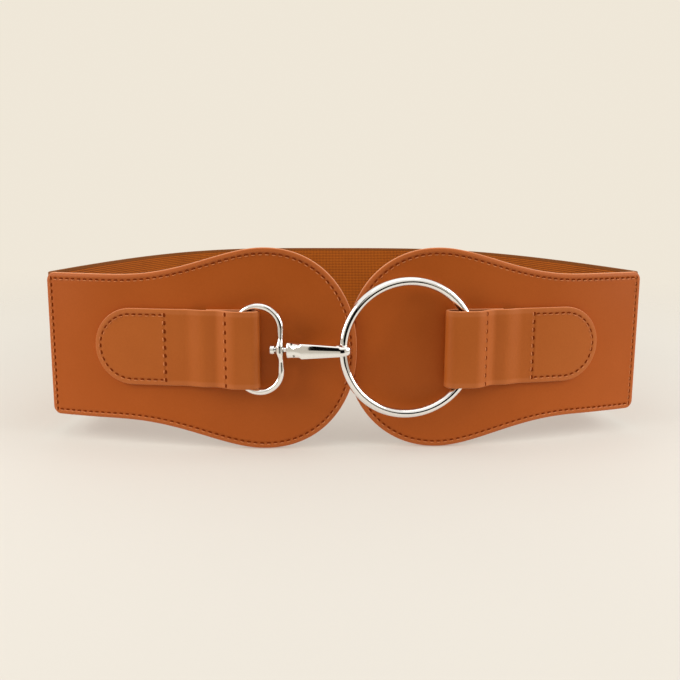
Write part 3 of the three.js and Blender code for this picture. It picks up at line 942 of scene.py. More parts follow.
@dataclass
class Panel:
    """A lobed leather panel (mm)."""

    side: Side
    stance: Stance
    band_height: float = 60.0
    lobe_rise: float = 11.3
    length: float = 129.3
    wall: float = 2.4
    tip_length: float = 37.5
    tip_exponent: float = 2.12
    end_length: float = 27.0
    shoulder_bias: float = 1.34
    overlap: float = 4.2
    lap_length: float = 42.0
    corner: float = 3.5
    fit: float = 0.3
    rim: float = 0.62
    seam_inset: float = 2.35
    seam_start: float = 2.0
    furrow: float = 0.06
    puff: float = 0.09
    seam_puff: float = 0.06
    unevenness: float = 0.1

    def square_height(self, run: Array) -> Array:
        """Half height at a distance from the tip, with square corners at the far end."""
        half = self.band_height / 2.0
        lobe = half + self.lobe_rise
        short = np.clip((self.tip_length - run) / self.tip_length, 0.0, 1.0)
        tip = lobe * (1.0 - short**self.tip_exponent) ** (1.0 / self.tip_exponent)
        shoulder = self.length - self.end_length
        left = np.clip((shoulder - run) / (shoulder - self.tip_length), 0.0, 1.0)
        body = half + self.lobe_rise * smooth(left**self.shoulder_bias)
        return np.where(run < self.tip_length, tip, body)

    def half_height(self, run: Array) -> Array:
        """Half height at a distance from the tip, with the far corners rounded."""
        past = np.clip(run - (self.length - self.corner), 0.0, self.corner)
        return self.square_height(run) - (self.corner - np.sqrt(self.corner**2 - past**2))

    def sheet(self) -> Wall:
        """The panel's wall, with its tip lapped over or under the other one's."""
        run = np.linspace(0.0, self.length, 600)
        lap = -self.side.value * (self.wall + self.fit) / 2.0 * (1.0 - smooth(run / self.lap_length))
        points = PLAN.point(self.side.value * (run - self.overlap / 2.0), lap - self.wall / 2.0)
        if self.side is Side.LEFT:
            return MirroredWall(self.stance, run, points, self.wall, self.rim)
        return Wall(self.stance, run, points, self.wall, self.rim)

    def relief(self, run: Array, height: Array, edge: Array, seam: Array) -> Array:
        """Sewn furrow, puffed border and a slow unevenness."""
        furrow = -self.furrow * bump_at(seam, 0.0, 0.42)
        puff = self.puff * bump_at(edge, 1.5, 0.7) + self.seam_puff * bump_at(seam, 1.1, 0.6)
        slow = self.unevenness * np.sin(run / 17.0 + self.side.value) * np.cos(height / 13.0)
        return furrow + (puff + slow) * smooth(edge / 1.2)

    def build(self, finishes: Finishes, sewing: Sewing) -> None:
        """Makes the panel's leather and its stitches."""
        wall = self.sheet()
        columns = spread(0.0, self.length, RIM_STEPS, 1.5)
        lobe = self.band_height / 2.0 + self.lobe_rise
        insets = np.array(RIM_STEPS + PANEL_ROWS) / lobe
        outline = closed_outline(self.half_height, self.length)
        end = self.length - self.seam_inset
        tall = self.band_height / 2.0 - self.seam_inset
        long_row = inset_line(self.square_height, 0.0, end - self.seam_start, self.seam_inset)
        end_row = densify(np.array([[end, -tall], [end, tall]]), SEAM_SPACING)
        lines = [long_row, end_row]
        name = f"{self.side.label}_panel"
        mesh = wall.skin(f"{name}_leather", columns, insets, self.half_height, outline, lines, self.relief)
        leather = new_object(mesh.name, mesh)
        dress(leather, finishes.panel)
        lift = self.wall / 2.0 + sewing.thread.lift
        dress(sewing.sew(f"{name}_stitches", seam_object(wall, lines, lift)), None)
        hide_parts(name)


@dataclass
class Pocket:
    """Where a strap folds round its fitting's wire (mm)."""

    fold: float
    roof: float
    row: float
    wire: float


@dataclass(frozen=True)
class StrapSizes:
    """Sizes that both straps and the fittings in them share (mm)."""

    width: float = 31.4
    wall: float = 1.5
    rise: float = 1.0
    play: float = 2.6
    fold: float = 37.4
    row_margin: float = 2.4
    end_margin: float = 22.5


@dataclass
class Strap:
    """A leather tab folded round a wire and sewn to its panel (mm)."""

    side: Side
    stance: Stance
    pocket: Pocket
    sizes: StrapSizes
    end: float
    fit: float = 0.3
    rim: float = 0.42
    tail: float = 8.5
    step: float = 8.0
    seam_inset: float = 2.4
    box_start: float = 75.0
    box_gap: float = 1.6
    row_inset: float = 1.3
    row_pitch: float = 3.2
    row_weight: float = 1.3
    furrow: float = 0.06
    puff: float = 0.05
    unevenness: float = 0.03
    fine_half: float = 1.5
    fine_past_fold: float = 16.0

    def path(self) -> tuple[Array, Array]:
        """Path of the mid-wall, from the round end over the fold to the tail.

        Returns:
            Distances along the front, and lifts in front of the panel.
        """
        wall, margin, row = self.sizes.wall, self.sizes.row_margin, self.pocket.row
        low = self.fit + wall / 2.0
        over = low + wall + self.fit
        high = self.pocket.roof + wall / 2.0
        tail = row + self.tail
        ramp_start = row - margin - self.pocket.wire / 2.0
        ramp_end = row + margin * 2.0
        radius = (high - low) / 2.0
        centre = self.pocket.fold + wall / 2.0 + radius
        front = np.linspace(self.end, centre, 700)
        lift = (
            low
            + (over - low) * (1.0 - smooth((front - tail - self.fit) / self.step))
            + (high - over) * (1.0 - smooth((front - ramp_start) / (ramp_end - ramp_start)))
        )
        turn = np.linspace(0.0, math.pi, 90)[1:]
        bend = centre - radius * np.sin(turn)
        back = np.linspace(centre, tail, 160)[1:]
        reach = np.concatenate([front, bend, back])
        lifts = np.concatenate([lift, low + radius * (1.0 + np.cos(turn)), np.full(back.shape, low)])
        return reach, lifts

    def half_height(self, run: Array) -> Array:
        """Half height at a run, with a round end."""
        half = self.sizes.width / 2.0
        short = np.clip((half - run) / half, 0.0, 1.0)
        return half * np.sqrt(np.maximum(1.0 - short**2, 0.0))

    def relief(self, run: Array, height: Array, edge: Array, seam: Array) -> Array:
        """Sewn furrows and a slow unevenness."""
        furrow = -self.furrow * bump_at(seam, 0.0, 0.4)
        slow = self.unevenness * np.sin(run / 7.0) * np.cos(height / 6.0)
        return furrow + (self.puff * bump_at(seam, 1.1, 0.6) + slow) * smooth(edge / 1.2)

    def build(self, finishes: Finishes, sewing: Sewing) -> None:
        """Makes the strap's leather and its stitches."""
        reach, lifts = self.path()
        points = PLAN.point(self.side.value * reach, lifts)
        runs = running_length(points)
        kind = Wall if self.side is Side.LEFT else MirroredWall
        wall = kind(self.stance, runs, points, self.sizes.wall, self.rim, self.sizes.rise)
        front = int(np.argmin(reach))
        box, row_at, fold_at = (
            float(np.interp(-distance, -reach[:front], runs[:front]))
            for distance in (self.box_start, self.pocket.row, self.pocket.fold)
        )
        length = float(runs[-1])
        half = self.sizes.width / 2.0
        radius = half - self.seam_inset
        arc = np.linspace(math.pi / 2, 3 * math.pi / 2, 90)
        round_end = np.stack([half + radius * np.cos(arc), radius * np.sin(arc)], axis=-1)
        corner = np.array([[box, -radius], [box, radius]])
        short = np.array([[self.box_gap, 0.0]])
        d_shape = densify(np.concatenate([corner[1:] - short, round_end, corner[:1] - short]), SEAM_SPACING)
        box_row = densify(corner, SEAM_SPACING)
        tall = half - self.row_inset
        row = densify(np.array([[row_at, -tall], [row_at, tall]]), SEAM_SPACING)
        fine = np.linspace(-self.fine_half, self.fine_half, 13)
        columns = np.unique(np.concatenate([
            spread(0.0, length, RIM_STEPS, 1.0),
            box + fine,
            row_at + fine,
            np.linspace(row_at, fold_at + self.fine_past_fold, 60),
        ]).round(4))
        columns = columns[columns <= length]
        insets = np.array(RIM_STEPS + STRAP_ROWS) / half
        outline = closed_outline(self.half_height, length)
        seams = [d_shape, box_row, row]
        name = f"{self.side.label}_strap"
        mesh = wall.skin(f"{name}_leather", columns, insets, self.half_height, outline, seams, self.relief)
        leather = new_object(mesh.name, mesh)
        dress(leather, finishes.strap)
        lift = self.sizes.wall / 2.0 + sewing.thread.lift
        dress(sewing.sew(f"{name}_stitches", seam_object(wall, [d_shape], lift)), None)
        across = seam_object(wall, [box_row, row], lift)
        dress(sewing.sew(f"{name}_rows", across, self.row_pitch, self.row_weight), None)
        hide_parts(name)


def densify(path: Array, spacing: float) -> Array:
    """Adds points to a polyline so that none are further apart than a spacing."""
    length = running_length(path)
    at = np.linspace(0.0, length[-1], max(int(length[-1] / spacing), 2))
    at = np.unique(np.concatenate([at, length]))
    return np.stack([np.interp(at, length, path[:, 0]), np.interp(at, length, path[:, 1])], axis=-1)


@dataclass
class ElasticBand:
    """The woven band round the back (mm)."""

    stance: Stance
    panel: Panel
    wall: float = 1.6
    inset: float = 0.3
    overlap: float = 14.0
    corner: float = 4.0
    set_back: float = 1.0
    corner_heading: float = math.radians(105.0)
    depth: float = 158.8
    rim: float = 0.5
    ripple: float = 0.05

    @property
    def half(self) -> float:
        """Half height of the band."""
        return self.panel.band_height / 2.0 - self.inset

    def path(self) -> Array:
        """Mid-wall in plan, from behind the right panel round the back to behind the left one."""
        behind = -self.panel.wall - self.panel.fit - self.wall / 2.0
        leave = self.panel.length - self.panel.overlap / 2.0 - self.set_back
        under = PLAN.point(np.linspace(leave - self.overlap, leave, 24), behind)
        heading = (leave - PLAN.straight) / PLAN.radius
        radius = self.corner - self.wall / 2.0
        centre = under[-1] + radius * np.array([-math.sin(heading), math.cos(heading)])
        turn = np.linspace(heading, self.corner_heading, 30)[1:]
        bend = centre + radius * np.stack([np.sin(turn), -np.cos(turn)], axis=-1)
        start = bend[-1]
        depth = self.depth - self.wall / 2.0 - start[1]
        exponent = -math.tan(self.corner_heading) * start[0] / depth
        share = np.maximum(np.cos(np.linspace(0.0, math.pi / 2, 400)[1:]), 0.0) ** (2.0 / exponent)
        back = np.stack([start[0] * share, start[1] + depth * (1.0 - share**exponent)], axis=-1)
        right = np.concatenate([under, bend, back])
        return np.concatenate([right, right[-2::-1] * [-1.0, 1.0]])

    def half_height(self, run: Array) -> Array:
        """Half height at a run, the same all along."""
        return np.full(run.shape, self.half)

    def relief(self, run: Array, height: Array, edge: Array, seam: Array) -> Array:
        """Faint ripple beside the selvedge."""
        return self.ripple * np.sin(run / 2.3) * bump_at(edge, 0.8, 0.8)

    def build(self, finishes: Finishes) -> None:
        """Makes the webbing."""
        points = self.path()
        runs = running_length(points)
        wall = Wall(self.stance, runs, points, self.wall, self.rim)
        length, half = float(runs[-1]), self.half
        fine = np.linspace(self.overlap, self.overlap + self.corner * 2.0, 24)
        ends = spread(0.0, length, RIM_STEPS, 2.0)
        columns = np.unique(np.concatenate([ends, fine, length - fine]).round(4))
        rows = np.array(RIM_STEPS + BAND_ROWS) / half
        outline = np.array([[0.0, -half], [0.0, half], [length, half], [length, -half], [0.0, -half]])
        mesh = wall.skin("elastic_webbing", columns, rows, self.half_height, outline, [], self.relief)
        webbing = new_object(mesh.name, mesh)
        dress(webbing, finishes.elastic)
        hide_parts("elastic_band")


def tube(
    name: str, path: Array, outward: Array, across: Array, radii: Array, place: Matrix
) -> bpy.types.Mesh:
    """Closed loop of elliptical sections.

    Args:
        name: the mesh's name.
        path: section centres.
        outward: unit direction of each section's first radius.
        across: unit direction of every section's second radius.
        radii: pair of radii for each section.
        place: matrix from the path's frame to the part's metres.

    Returns:
        The mesh.
    """
    sides = 32
    angle = np.linspace(0.0, 2 * math.pi, sides, endpoint=False)
    rings = (
        path[:, None, :]
        + radii[:, None, :1] * np.cos(angle)[None, :, None] * outward[:, None, :]
        + radii[:, None, 1:] * np.sin(angle)[None, :, None] * across[None, None, :]
    )
    count = len(path)
    index = np.arange(count * sides).reshape(count, sides)
    looped = np.concatenate([index, index[:1]])
    looped = np.concatenate([looped, looped[:, :1]], axis=1)
    m = np.array(place)
    points = rings.reshape(-1, 3) @ m[:3, :3].T + m[:3, 3]
    return mesh_from(name, points, quads(looped))


@dataclass
class Ring:
    """The large round ring (mm)."""

    stance: Stance
    inner: float = 50.0
    wire: float = 3.6
    rise: float = 1.8

    @property
    def radius(self) -> float:
        """Radius of the wire's centre line."""
        return (self.inner + self.wire) / 2.0

    def build(self, place: Matrix, finishes: Finishes) -> None:
        """Makes the ring."""
        turn = np.linspace(0.0, 2 * math.pi, 256, endpoint=False)
        outward = np.stack([np.cos(turn), np.zeros(turn.shape), np.sin(turn)], axis=-1)
        radii = np.full((len(turn), 2), self.wire / 2.0)
        across = np.array([0.0, 1.0, 0.0])
        mesh = tube("ring_polished", self.radius * outward, outward, across, radii, place)
        ring = new_object(mesh.name, mesh)
        dress(ring, finishes.chrome)
        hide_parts("round_ring")


@dataclass
class ClaspSizes:
    """Sizes of the clasp's loop, hook, gate and pin (mm).

    A hole is placed by its distance along the hook from the pin, and in from the hook's edge.
    """

    loop_width: float = 20.5
    loop_wire: float = 2.7
    loop_play: float = 0.6
    boss_width: float = 3.5
    boss_depth: float = 5.0
    boss_height: float = 10.0
    far_slimming: float = 0.4
    hook_length: float = 26.1
    hook_depth: float = 9.6
    hook_wall: float = 1.7
    base_height: float = 7.0
    nose_height: float = 3.6
    tip_height: float = 2.2
    base_depth: float = 6.6
    base_length: float = 5.0
    shoulder: float = 6.0
    tip: float = 3.0
    stand_off: float = 4.1
    swivel_gap: float = 1.25
    post: float = 1.0
    rivet_radius: float = 1.95
    rivet_length: float = 1.6
    pivot_inset: float = 2.6
    gate_wall: float = 1.3
    gate_height: float = 2.2
    gate_lap: float = 1.0
    knuckle: float = 1.5
    pin: float = 0.55
    pin_inset: float = 0.15
    hole_radius: float = 0.5
    hole_length: float = 7.0
    hole_sink: float = 0.4
    upper_hole: tuple[float, float] = (-0.5, 0.75)
    lower_hole: tuple[float, float] = (0.6, 1.6)
    fit: float = 0.3


class Layout:
    """Where the fittings lie, worked out as the hook, ring and pockets fit one another (mm)."""

    def __init__(self, clasp: ClaspSizes, ring: Ring, panel: Panel, strap: StrapSizes) -> None:
        """Works out every place.

        Args:
            clasp: the clasp's sizes.
            ring: the ring.
            panel: a panel.
            strap: sizes of the straps.
        """
        rise, play, fold, row_margin = strap.rise, strap.play, strap.fold, strap.row_margin
        fit = clasp.fit
        floor = fit + strap.wall + fit
        drop = abs(ring.rise - rise) + strap.width / 2.0
        bow = ring.radius - math.sqrt(ring.radius**2 - drop**2)
        ring_reach = fold + strap.wall + play + bow + ring.wire / 2.0
        ring_bar = PLAN.point(ring_reach, floor + ring.wire / 2.0)
        stand_off = (panel.wall + fit) / 2.0 + clasp.stand_off + clasp.hook_depth / 2.0
        self.ring_yaw = math.asin((ring_bar[1] + stand_off) / (2.0 * ring.radius))
        catch = np.array([ring_bar[0] - 2.0 * ring.radius * math.cos(self.ring_yaw), -stand_off])
        self.ring_centre = (*((ring_bar + catch) / 2.0), ring.rise)
        self.span = clasp.loop_width - clasp.loop_wire
        self.bend = self.span / 2.0
        self.straight = (strap.width + clasp.loop_play + clasp.loop_wire) / 2.0 - self.bend
        self.boss_start = self.span + clasp.loop_wire / 2.0 - clasp.boss_width
        self.rivet_start = self.boss_start - fit - clasp.rivet_length
        self.hook_start = self.span + clasp.loop_wire / 2.0 + clasp.swivel_gap
        self.hook_end = self.hook_start + clasp.hook_length
        reach = self.hook_end - clasp.hook_wall - fit - ring.wire / 2.0
        near, far = 0.0, panel.length
        for _ in range(40):
            middle = (near + far) / 2.0
            bar = PLAN.point(-middle, floor + clasp.loop_wire / 2.0)
            near, far = (middle, far) if float(np.hypot(*(bar - catch))) < reach else (near, middle)
        bar = PLAN.point(-near, floor + clasp.loop_wire / 2.0)
        self.clasp_origin = (float(bar[0]), float(bar[1]), rise)
        self.clasp_yaw = math.asin((bar[1] - catch[1]) / reach)
        self.clasp_pitch = math.asin((ring.rise - rise) / reach)
        loop_rise = strap.width / 2.0 - self.straight
        loop_bow = self.bend - math.sqrt(self.bend**2 - loop_rise**2)
        left_fold = near - clasp.loop_wire / 2.0 - loop_bow - play - strap.wall
        self.pockets = {
            Side.RIGHT: Pocket(fold, floor + ring.wire + fit + (bow + ring.wire) * math.tan(self.ring_yaw),
                               ring_reach + ring.wire / 2.0 + row_margin, ring.wire),
            Side.LEFT: Pocket(left_fold, floor + clasp.loop_wire + fit
                              + (loop_bow + clasp.loop_wire) * math.tan(self.clasp_yaw),
                              near + clasp.loop_wire / 2.0 + row_margin, clasp.loop_wire),
        }

    def clasp_place(self, stance: Stance) -> Matrix:
        """Matrix from the clasp's own frame to the part's metres."""
        turn = Matrix.Rotation(-self.clasp_yaw, 4, "Z") @ Matrix.Rotation(-self.clasp_pitch, 4, "Y")
        return stance.matrix() @ Matrix.Translation(Vector(self.clasp_origin)) @ turn

    def ring_place(self, stance: Stance) -> Matrix:
        """Matrix from the ring's own frame to the part's metres."""
        place = Matrix.Translation(Vector(self.ring_centre)) @ Matrix.Rotation(self.ring_yaw, 4, "Z")
        return stance.matrix() @ place


class Clasp:
    """The wire loop, the swivel snap hook, its gate and the gate's pin."""

    def __init__(self, sizes: ClaspSizes, layout: Layout, stance: Stance) -> None:
        """Keeps the sizes and works out the hook's own places."""
        self.sizes = sizes
        self.layout = layout
        self.place = layout.clasp_place(stance)
        self.outer = sizes.hook_depth / 2.0
        self.inner = self.outer - sizes.hook_wall
        self.nose = layout.hook_end - self.outer
        self.tip_start = self.nose - sizes.tip
        self.base_end = layout.hook_start + sizes.base_length
        self.gate_outer = self.inner - sizes.fit
        self.gate_inner = self.gate_outer - sizes.gate_wall
        self.pivot = (layout.hook_start + sizes.pivot_inset, self.gate_outer - sizes.knuckle + sizes.fit)

    def hook_height(self, x: float) -> float:
        """Height of the hook at a distance along the clasp."""
        share = (x - self.layout.hook_start) / self.sizes.hook_length
        return self.sizes.base_height + (self.sizes.nose_height - self.sizes.base_height) * share

    def finish(self, name: str, mesh: bpy.types.Mesh, bevel: float, finishes: Finishes, body: str) -> None:
        """Rounds a mesh's sharp edges, places it and dresses it.

        Args:
            name: the CAD node that it replaces.
            mesh: mesh in the clasp's own frame, in millimetres.
            bevel: width of the rounded edges.
            finishes: the finishes.
            body: the body that it rides on.
        """
        obj = new_object(f"{name}_polished", mesh)
        rounding = obj.modifiers.new("round", "BEVEL")
        rounding.width = bevel
        rounding.segments = 4
        rounding.limit_method = "ANGLE"
        rounding.angle_limit = math.radians(32.0)
        graph = bpy.context.evaluated_depsgraph_get()
        done = bpy.data.meshes.new_from_object(obj.evaluated_get(graph), depsgraph=graph)
        obj.modifiers.clear()
        obj.data = done
        done.transform(self.place)
        done.shade_smooth()
        done.set_sharp_from_angle(angle=math.radians(40.0))
        dress(obj, finishes.chrome, body)
        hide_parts(name)

    def build(self, finishes: Finishes) -> None:
        """Makes all four pieces."""
        self.build_loop(finishes)
        self.finish("snap_hook", self.hook_mesh(), 0.14, finishes, "root")
        self.finish("hook_gate", self.gate_mesh(), 0.3, finishes, "gate")
        s = self.sizes
        pin = rod(s.pin, self.hook_height(self.pivot[0]) - 4 * s.pin_inset, "Z", (*self.pivot, 0.0))
        self.finish("gate_pin", mesh_of(pin, "gate_pin"), 0.12, finishes, "root")

    def build_loop(self, finishes: Finishes) -> None:
        """Makes the oval wire loop and bores its boss."""
        s, lay = self.sizes, self.layout
        side = np.linspace(-lay.straight, lay.straight, 81)
        turn = np.linspace(0.0, math.pi, 61)[1:-1]
        up = np.stack([np.full(side.shape, lay.span), side], axis=-1)
        over = np.stack([lay.bend + lay.bend * np.cos(turn), lay.straight + lay.bend * np.sin(turn)], -1)
        down = np.stack([np.zeros(side.shape), -side], axis=-1)
        under = np.stack([lay.bend - lay.bend * np.cos(turn), -lay.straight - lay.bend * np.sin(turn)], -1)
        flat = np.concatenate([up, over, down, under])
        angle = np.concatenate([np.zeros(side.shape), turn, np.full(side.shape, math.pi), turn + math.pi])
        far = np.concatenate([np.ones(side.shape), np.zeros(len(flat) - len(side))])
        away = np.abs(flat[:, 1]) / (s.boss_height / 2.0)
        swell = far * (1.0 - smooth((away - 0.2) / 0.8))
        beside = smooth(2.0 * np.abs(flat[:, 1]) / lay.straight - 1.0)
        slim = far * s.far_slimming / 2.0 * (1.0 - beside)
        radii = np.stack([
            s.loop_wire / 2.0 - slim * (1.0 - swell) + swell * (s.boss_width - s.loop_wire) / 2.0,
            s.loop_wire / 2.0 + swell * (s.boss_depth - s.loop_wire) / 2.0,
        ], axis=-1)
        outward = np.stack([np.cos(angle), np.zeros(angle.shape), np.sin(angle)], axis=-1)
        path = np.stack([flat[:, 0], np.zeros(len(flat)), flat[:, 1]], axis=-1)
        path = path + (swell * (s.loop_wire - s.boss_width) / 2.0)[:, None] * outward
        mesh = tube("clasp_loop", path, outward, np.array([0.0, 1.0, 0.0]), radii, Matrix.Identity(4))
        bore = rod(s.post + s.fit, s.boss_width + 4.0, "X", (lay.boss_start + s.boss_width / 2.0, 0.0, 0.0))
        holed = combine(mesh, [(mesh_of(bore, "bore"), "DIFFERENCE")])
        self.finish("clasp_loop", holed, 0.12, finishes, "root")

    def hook_stations(self) -> Array:
        """Sections of the cast hook: x, y, outward x, outward y, half depth, half height and power."""
        s = self.sizes
        root, middle, half = s.base_depth / 2.0, (self.outer + self.inner) / 2.0, s.hook_wall / 2.0
        start = self.layout.hook_start
        x = np.concatenate([np.linspace(start, start + 9.0, 60), np.linspace(start + 9.0, self.nose, 30)[1:]])
        front = root + (self.outer - root) * smooth((x - start) / s.shoulder)
        fall = smooth((x - self.base_end + 0.5) / 1.9)
        back = root - (root + self.inner) * fall
        flat = np.zeros(x.shape)
        high = np.array([self.hook_height(v) for v in x]) / 2.0
        power = 2.9 - 0.6 * fall
        deep = (front + back) / 2.0
        spine = np.stack([x, (back - front) / 2.0, flat, flat - 1.0, deep, high, power], axis=-1)
        turn = np.radians(np.linspace(-90.0, 90.0, 41))[1:]
        ones, low = np.ones(turn.shape), s.tip_height / 2.0
        thin = smooth((1.0 + np.cos(turn + math.pi / 2.0)) / 2.0)
        cos, sin = np.cos(turn), np.sin(turn)
        bend = np.stack([
            self.nose + middle * cos, middle * sin, cos, sin, half * ones,
            low + (s.nose_height / 2.0 - low) * thin, 2.3 * ones,
        ], axis=-1)
        x = np.linspace(self.nose, self.tip_start, 8)[1:]
        tip = np.repeat(np.array([[0.0, middle, 0.0, 1.0, half, low, 2.3]]), len(x), axis=0)
        tip[:, 0] = x
        return np.concatenate([spine, bend, tip])

    def hook_mesh(self) -> bpy.types.Mesh:
        """Hook body with its slot, pin bore, post and rivet head, in the clasp's own frame."""
        s, lay = self.sizes, self.layout
        body = swept("hook", self.hook_stations(), (0.7, 0.5))
        half = s.gate_height / 2.0 + s.fit
        low = (self.pivot[0] - s.knuckle - s.fit, self.pivot[1] - s.knuckle - s.fit, -half)
        high = (self.base_end + s.knuckle, s.hook_depth, half)
        pin = rod(s.pin + s.fit, 2 * s.base_height, "Z", (*self.pivot, 0.0))
        post_start, post_end = lay.rivet_start + s.rivet_length / 2.0, lay.hook_start + 2 * s.fit
        post = rod(s.post, post_end - post_start, "X", ((post_start + post_end) / 2.0, 0.0, 0.0))
        head = rod(s.rivet_radius, s.rivet_length, "X", (lay.rivet_start + s.rivet_length / 2.0, 0.0, 0.0))
        tall = self.hook_height(self.pivot[0]) / 2.0
        holes = [
            rod(s.hole_radius, s.hole_length, "Y", (self.pivot[0] + along, s.hole_sink - self.outer, z))
            for along, z in (
                (s.upper_hole[0], tall - s.upper_hole[1]),
                (s.lower_hole[0], s.lower_hole[1] - tall),
            )
        ]
        return combine(body, [
            (box_mesh(low, high), "DIFFERENCE"),
            (mesh_of(pin, "pin"), "DIFFERENCE"),
            *((mesh_of(hole, "hole"), "DIFFERENCE") for hole in holes),
            (mesh_of(post, "post"), "UNION"),
            (mesh_of(head, "head"), "UNION"),
        ])

    def gate_mesh(self) -> bpy.types.Mesh:
        """Lever with its knuckle, in the clasp's own frame."""
        s = self.sizes
        reach = self.tip_start + s.gate_lap
        outline = [(self.pivot[0], self.gate_inner), (reach - s.gate_wall / 2.0, self.gate_inner)]
        turned = (reach, self.gate_outer - s.gate_wall / 4.0)
        outline += arc_between(outline[-1], (reach, self.gate_inner), turned)
        outline += [(reach, self.gate_outer), (self.pivot[0], self.gate_outer)]
        blade = plate(outline, s.gate_height)
        knuckle = rod(s.knuckle, s.gate_height, "Z", (*self.pivot, 0.0))
        bore = rod(s.pin + s.fit, 2 * s.gate_height, "Z", (*self.pivot, 0.0))
        parts = [(mesh_of(knuckle, "knuckle"), "UNION"), (mesh_of(bore, "bore"), "DIFFERENCE")]
        return combine(blade, parts)


def swept(name: str, stations: Array, caps: tuple[float, float]) -> bpy.types.Mesh:
    """Closed sweep of rounded sections along a path in plan, with rounded ends.

    Args:
        name: the mesh's name.
        stations: x, y, outward x, outward y, half depth, half height and power of each section.
        caps: rounding at the first and at the last end.

    Returns:
        The mesh, in the path's own frame.
    """
    sides = 48
    angle = np.linspace(0.0, 2 * math.pi, sides, endpoint=False)
    cos, sin = np.cos(angle), np.sin(angle)
    run = np.concatenate([[0.0], np.cumsum(np.hypot(*np.diff(stations[:, :2], axis=0).T))])
    steps = 1.0 - np.cos(np.linspace(0.0, math.pi / 2, 8))
    dense = np.unique(np.concatenate([run, steps * caps[0], run[-1] - steps * caps[1]]).round(4))
    rows = np.stack([np.interp(dense, run, column) for column in stations.T], axis=-1)
    near = np.clip(dense / caps[0], 0.0, 1.0)
    far = np.clip((run[-1] - dense) / caps[1], 0.0, 1.0)
    shrink = sum(cap * (1.0 - np.sqrt(1.0 - (1.0 - way) ** 2)) for cap, way in zip(caps, (near, far)))
    rings = []
    for (x, y, nx, ny, half, high, power), less in zip(rows, shrink):
        size = math.hypot(nx, ny)
        out = np.sign(cos) * np.abs(cos) ** (2.0 / power) * max(half - less, 0.05)
        up = np.sign(sin) * np.abs(sin) ** (2.0 / power) * max(high - less, 0.05)
        rings.append(np.stack([x + out * nx / size, y + out * ny / size, up], axis=-1))
    index = np.arange(len(rings) * sides).reshape(len(rings), sides)
    looped = np.concatenate([index, index[:, :1]], axis=1)
    faces = [*quads(looped), index[0], index[-1][::-1]]
    return mesh_from(name, np.concatenate(rings), faces)


def arc_between(start: tuple, corner: tuple, end: tuple) -> list[tuple[float, float]]:
    """Points of a soft corner, without its first one."""
    shares = np.linspace(0.0, 1.0, 9)[1:]
    a, b, c = (np.array(p) for p in (start, corner, end))
    return [tuple((1 - t) ** 2 * a + 2 * t * (1 - t) * b + t * t * c) for t in shares]


def plate(outline: Sequence[tuple[float, float]], height: float) -> bpy.types.Mesh:
    """Solid of a flat outline, as high above the middle as below it."""
    count = len(outline)
    low, high = ([(x, y, z) for x, y in outline] for z in (-height / 2.0, height / 2.0))
    sides = [(i, (i + 1) % count, count + (i + 1) % count, count + i) for i in range(count)]
    faces = [tuple(range(count))[::-1], tuple(range(count, 2 * count)), *sides]
    return mesh_from("plate", np.array(low + high), faces)


def rod(radius: float, length: float, axis: str, centre: Point) -> bmesh.types.BMesh:
    """Cylinder along an axis."""
    turns = {"X": Matrix.Rotation(math.pi / 2, 4, "Y"), "Y": Matrix.Rotation(math.pi / 2, 4, "X")}
    place = Matrix.Translation(Vector(centre)) @ turns.get(axis, Matrix())
    work = bmesh.new()
    bmesh.ops.create_cone(
        work, cap_ends=True, segments=48, radius1=radius, radius2=radius, depth=length, matrix=place
    )
    return work


def mesh_of(work: bmesh.types.BMesh, name: str) -> bpy.types.Mesh:
    """Keeps a bmesh as a mesh and frees it."""
    mesh = bpy.data.meshes.new(name)
    bmesh.ops.recalc_face_normals(work, faces=work.faces)
    work.to_mesh(mesh)
    work.free()
    return mesh


def box_mesh(low: tuple, high: tuple) -> bpy.types.Mesh:
    """Box between two corners."""
    work = bmesh.new()
    bmesh.ops.create_cube(work, size=1.0)
    for vertex in work.verts:
        for i in range(3):
            vertex.co[i] = high[i] if vertex.co[i] > 0 else low[i]
    return mesh_of(work, "box")


def combine(base: bpy.types.Mesh, others: Sequence[tuple[bpy.types.Mesh, str]]) -> bpy.types.Mesh:
    """Joins and cuts meshes one after another.

    Args:
        base: the mesh to start from.
        others: meshes, each with UNION or DIFFERENCE.

    Returns:
        The result as one mesh.
    """
    obj = new_object("work", base)
    tools = []
    for mesh, operation in others:
        tool = new_object("tool", mesh)
        tools.append(tool)
        step = obj.modifiers.new(operation, "BOOLEAN")
        step.object = tool
        step.operation = operation
        step.solver = "EXACT"
    graph = bpy.context.evaluated_depsgraph_get()
    result = bpy.data.meshes.new_from_object(obj.evaluated_get(graph), depsgraph=graph)
    for item in (obj, *tools):
        bpy.data.objects.remove(item)
    return result


@dataclass(frozen=True)
class Softbox:
    """A soft rectangular light (metres and watts)."""

    name: str
    at: Point
    size: tuple[float, float]
    power: float
    colour: Point


SOFTBOXES = (
    Softbox("left_softbox", (-0.62, -0.22, 0.3), (0.45, 0.45), 2.8, (1.0, 0.975, 0.93)),
    Softbox("right_softbox", (0.62, -0.22, 0.3), (0.45, 0.45), 2.8, (1.0, 1.0, 1.0)),
    Softbox("top_softbox", (0.0, -0.08, 0.9), (0.8, 0.6), 0.9, (1.0, 0.98, 0.95)),
)
FLAG_OUTLINE = (
    (-0.071, 0.04), (-0.022, 0.04), (-0.022, 0.001), (0.11, 0.001),
    (0.11, 0.105), (-0.022, 0.105), (-0.022, 0.2), (-0.071, 0.2),
)


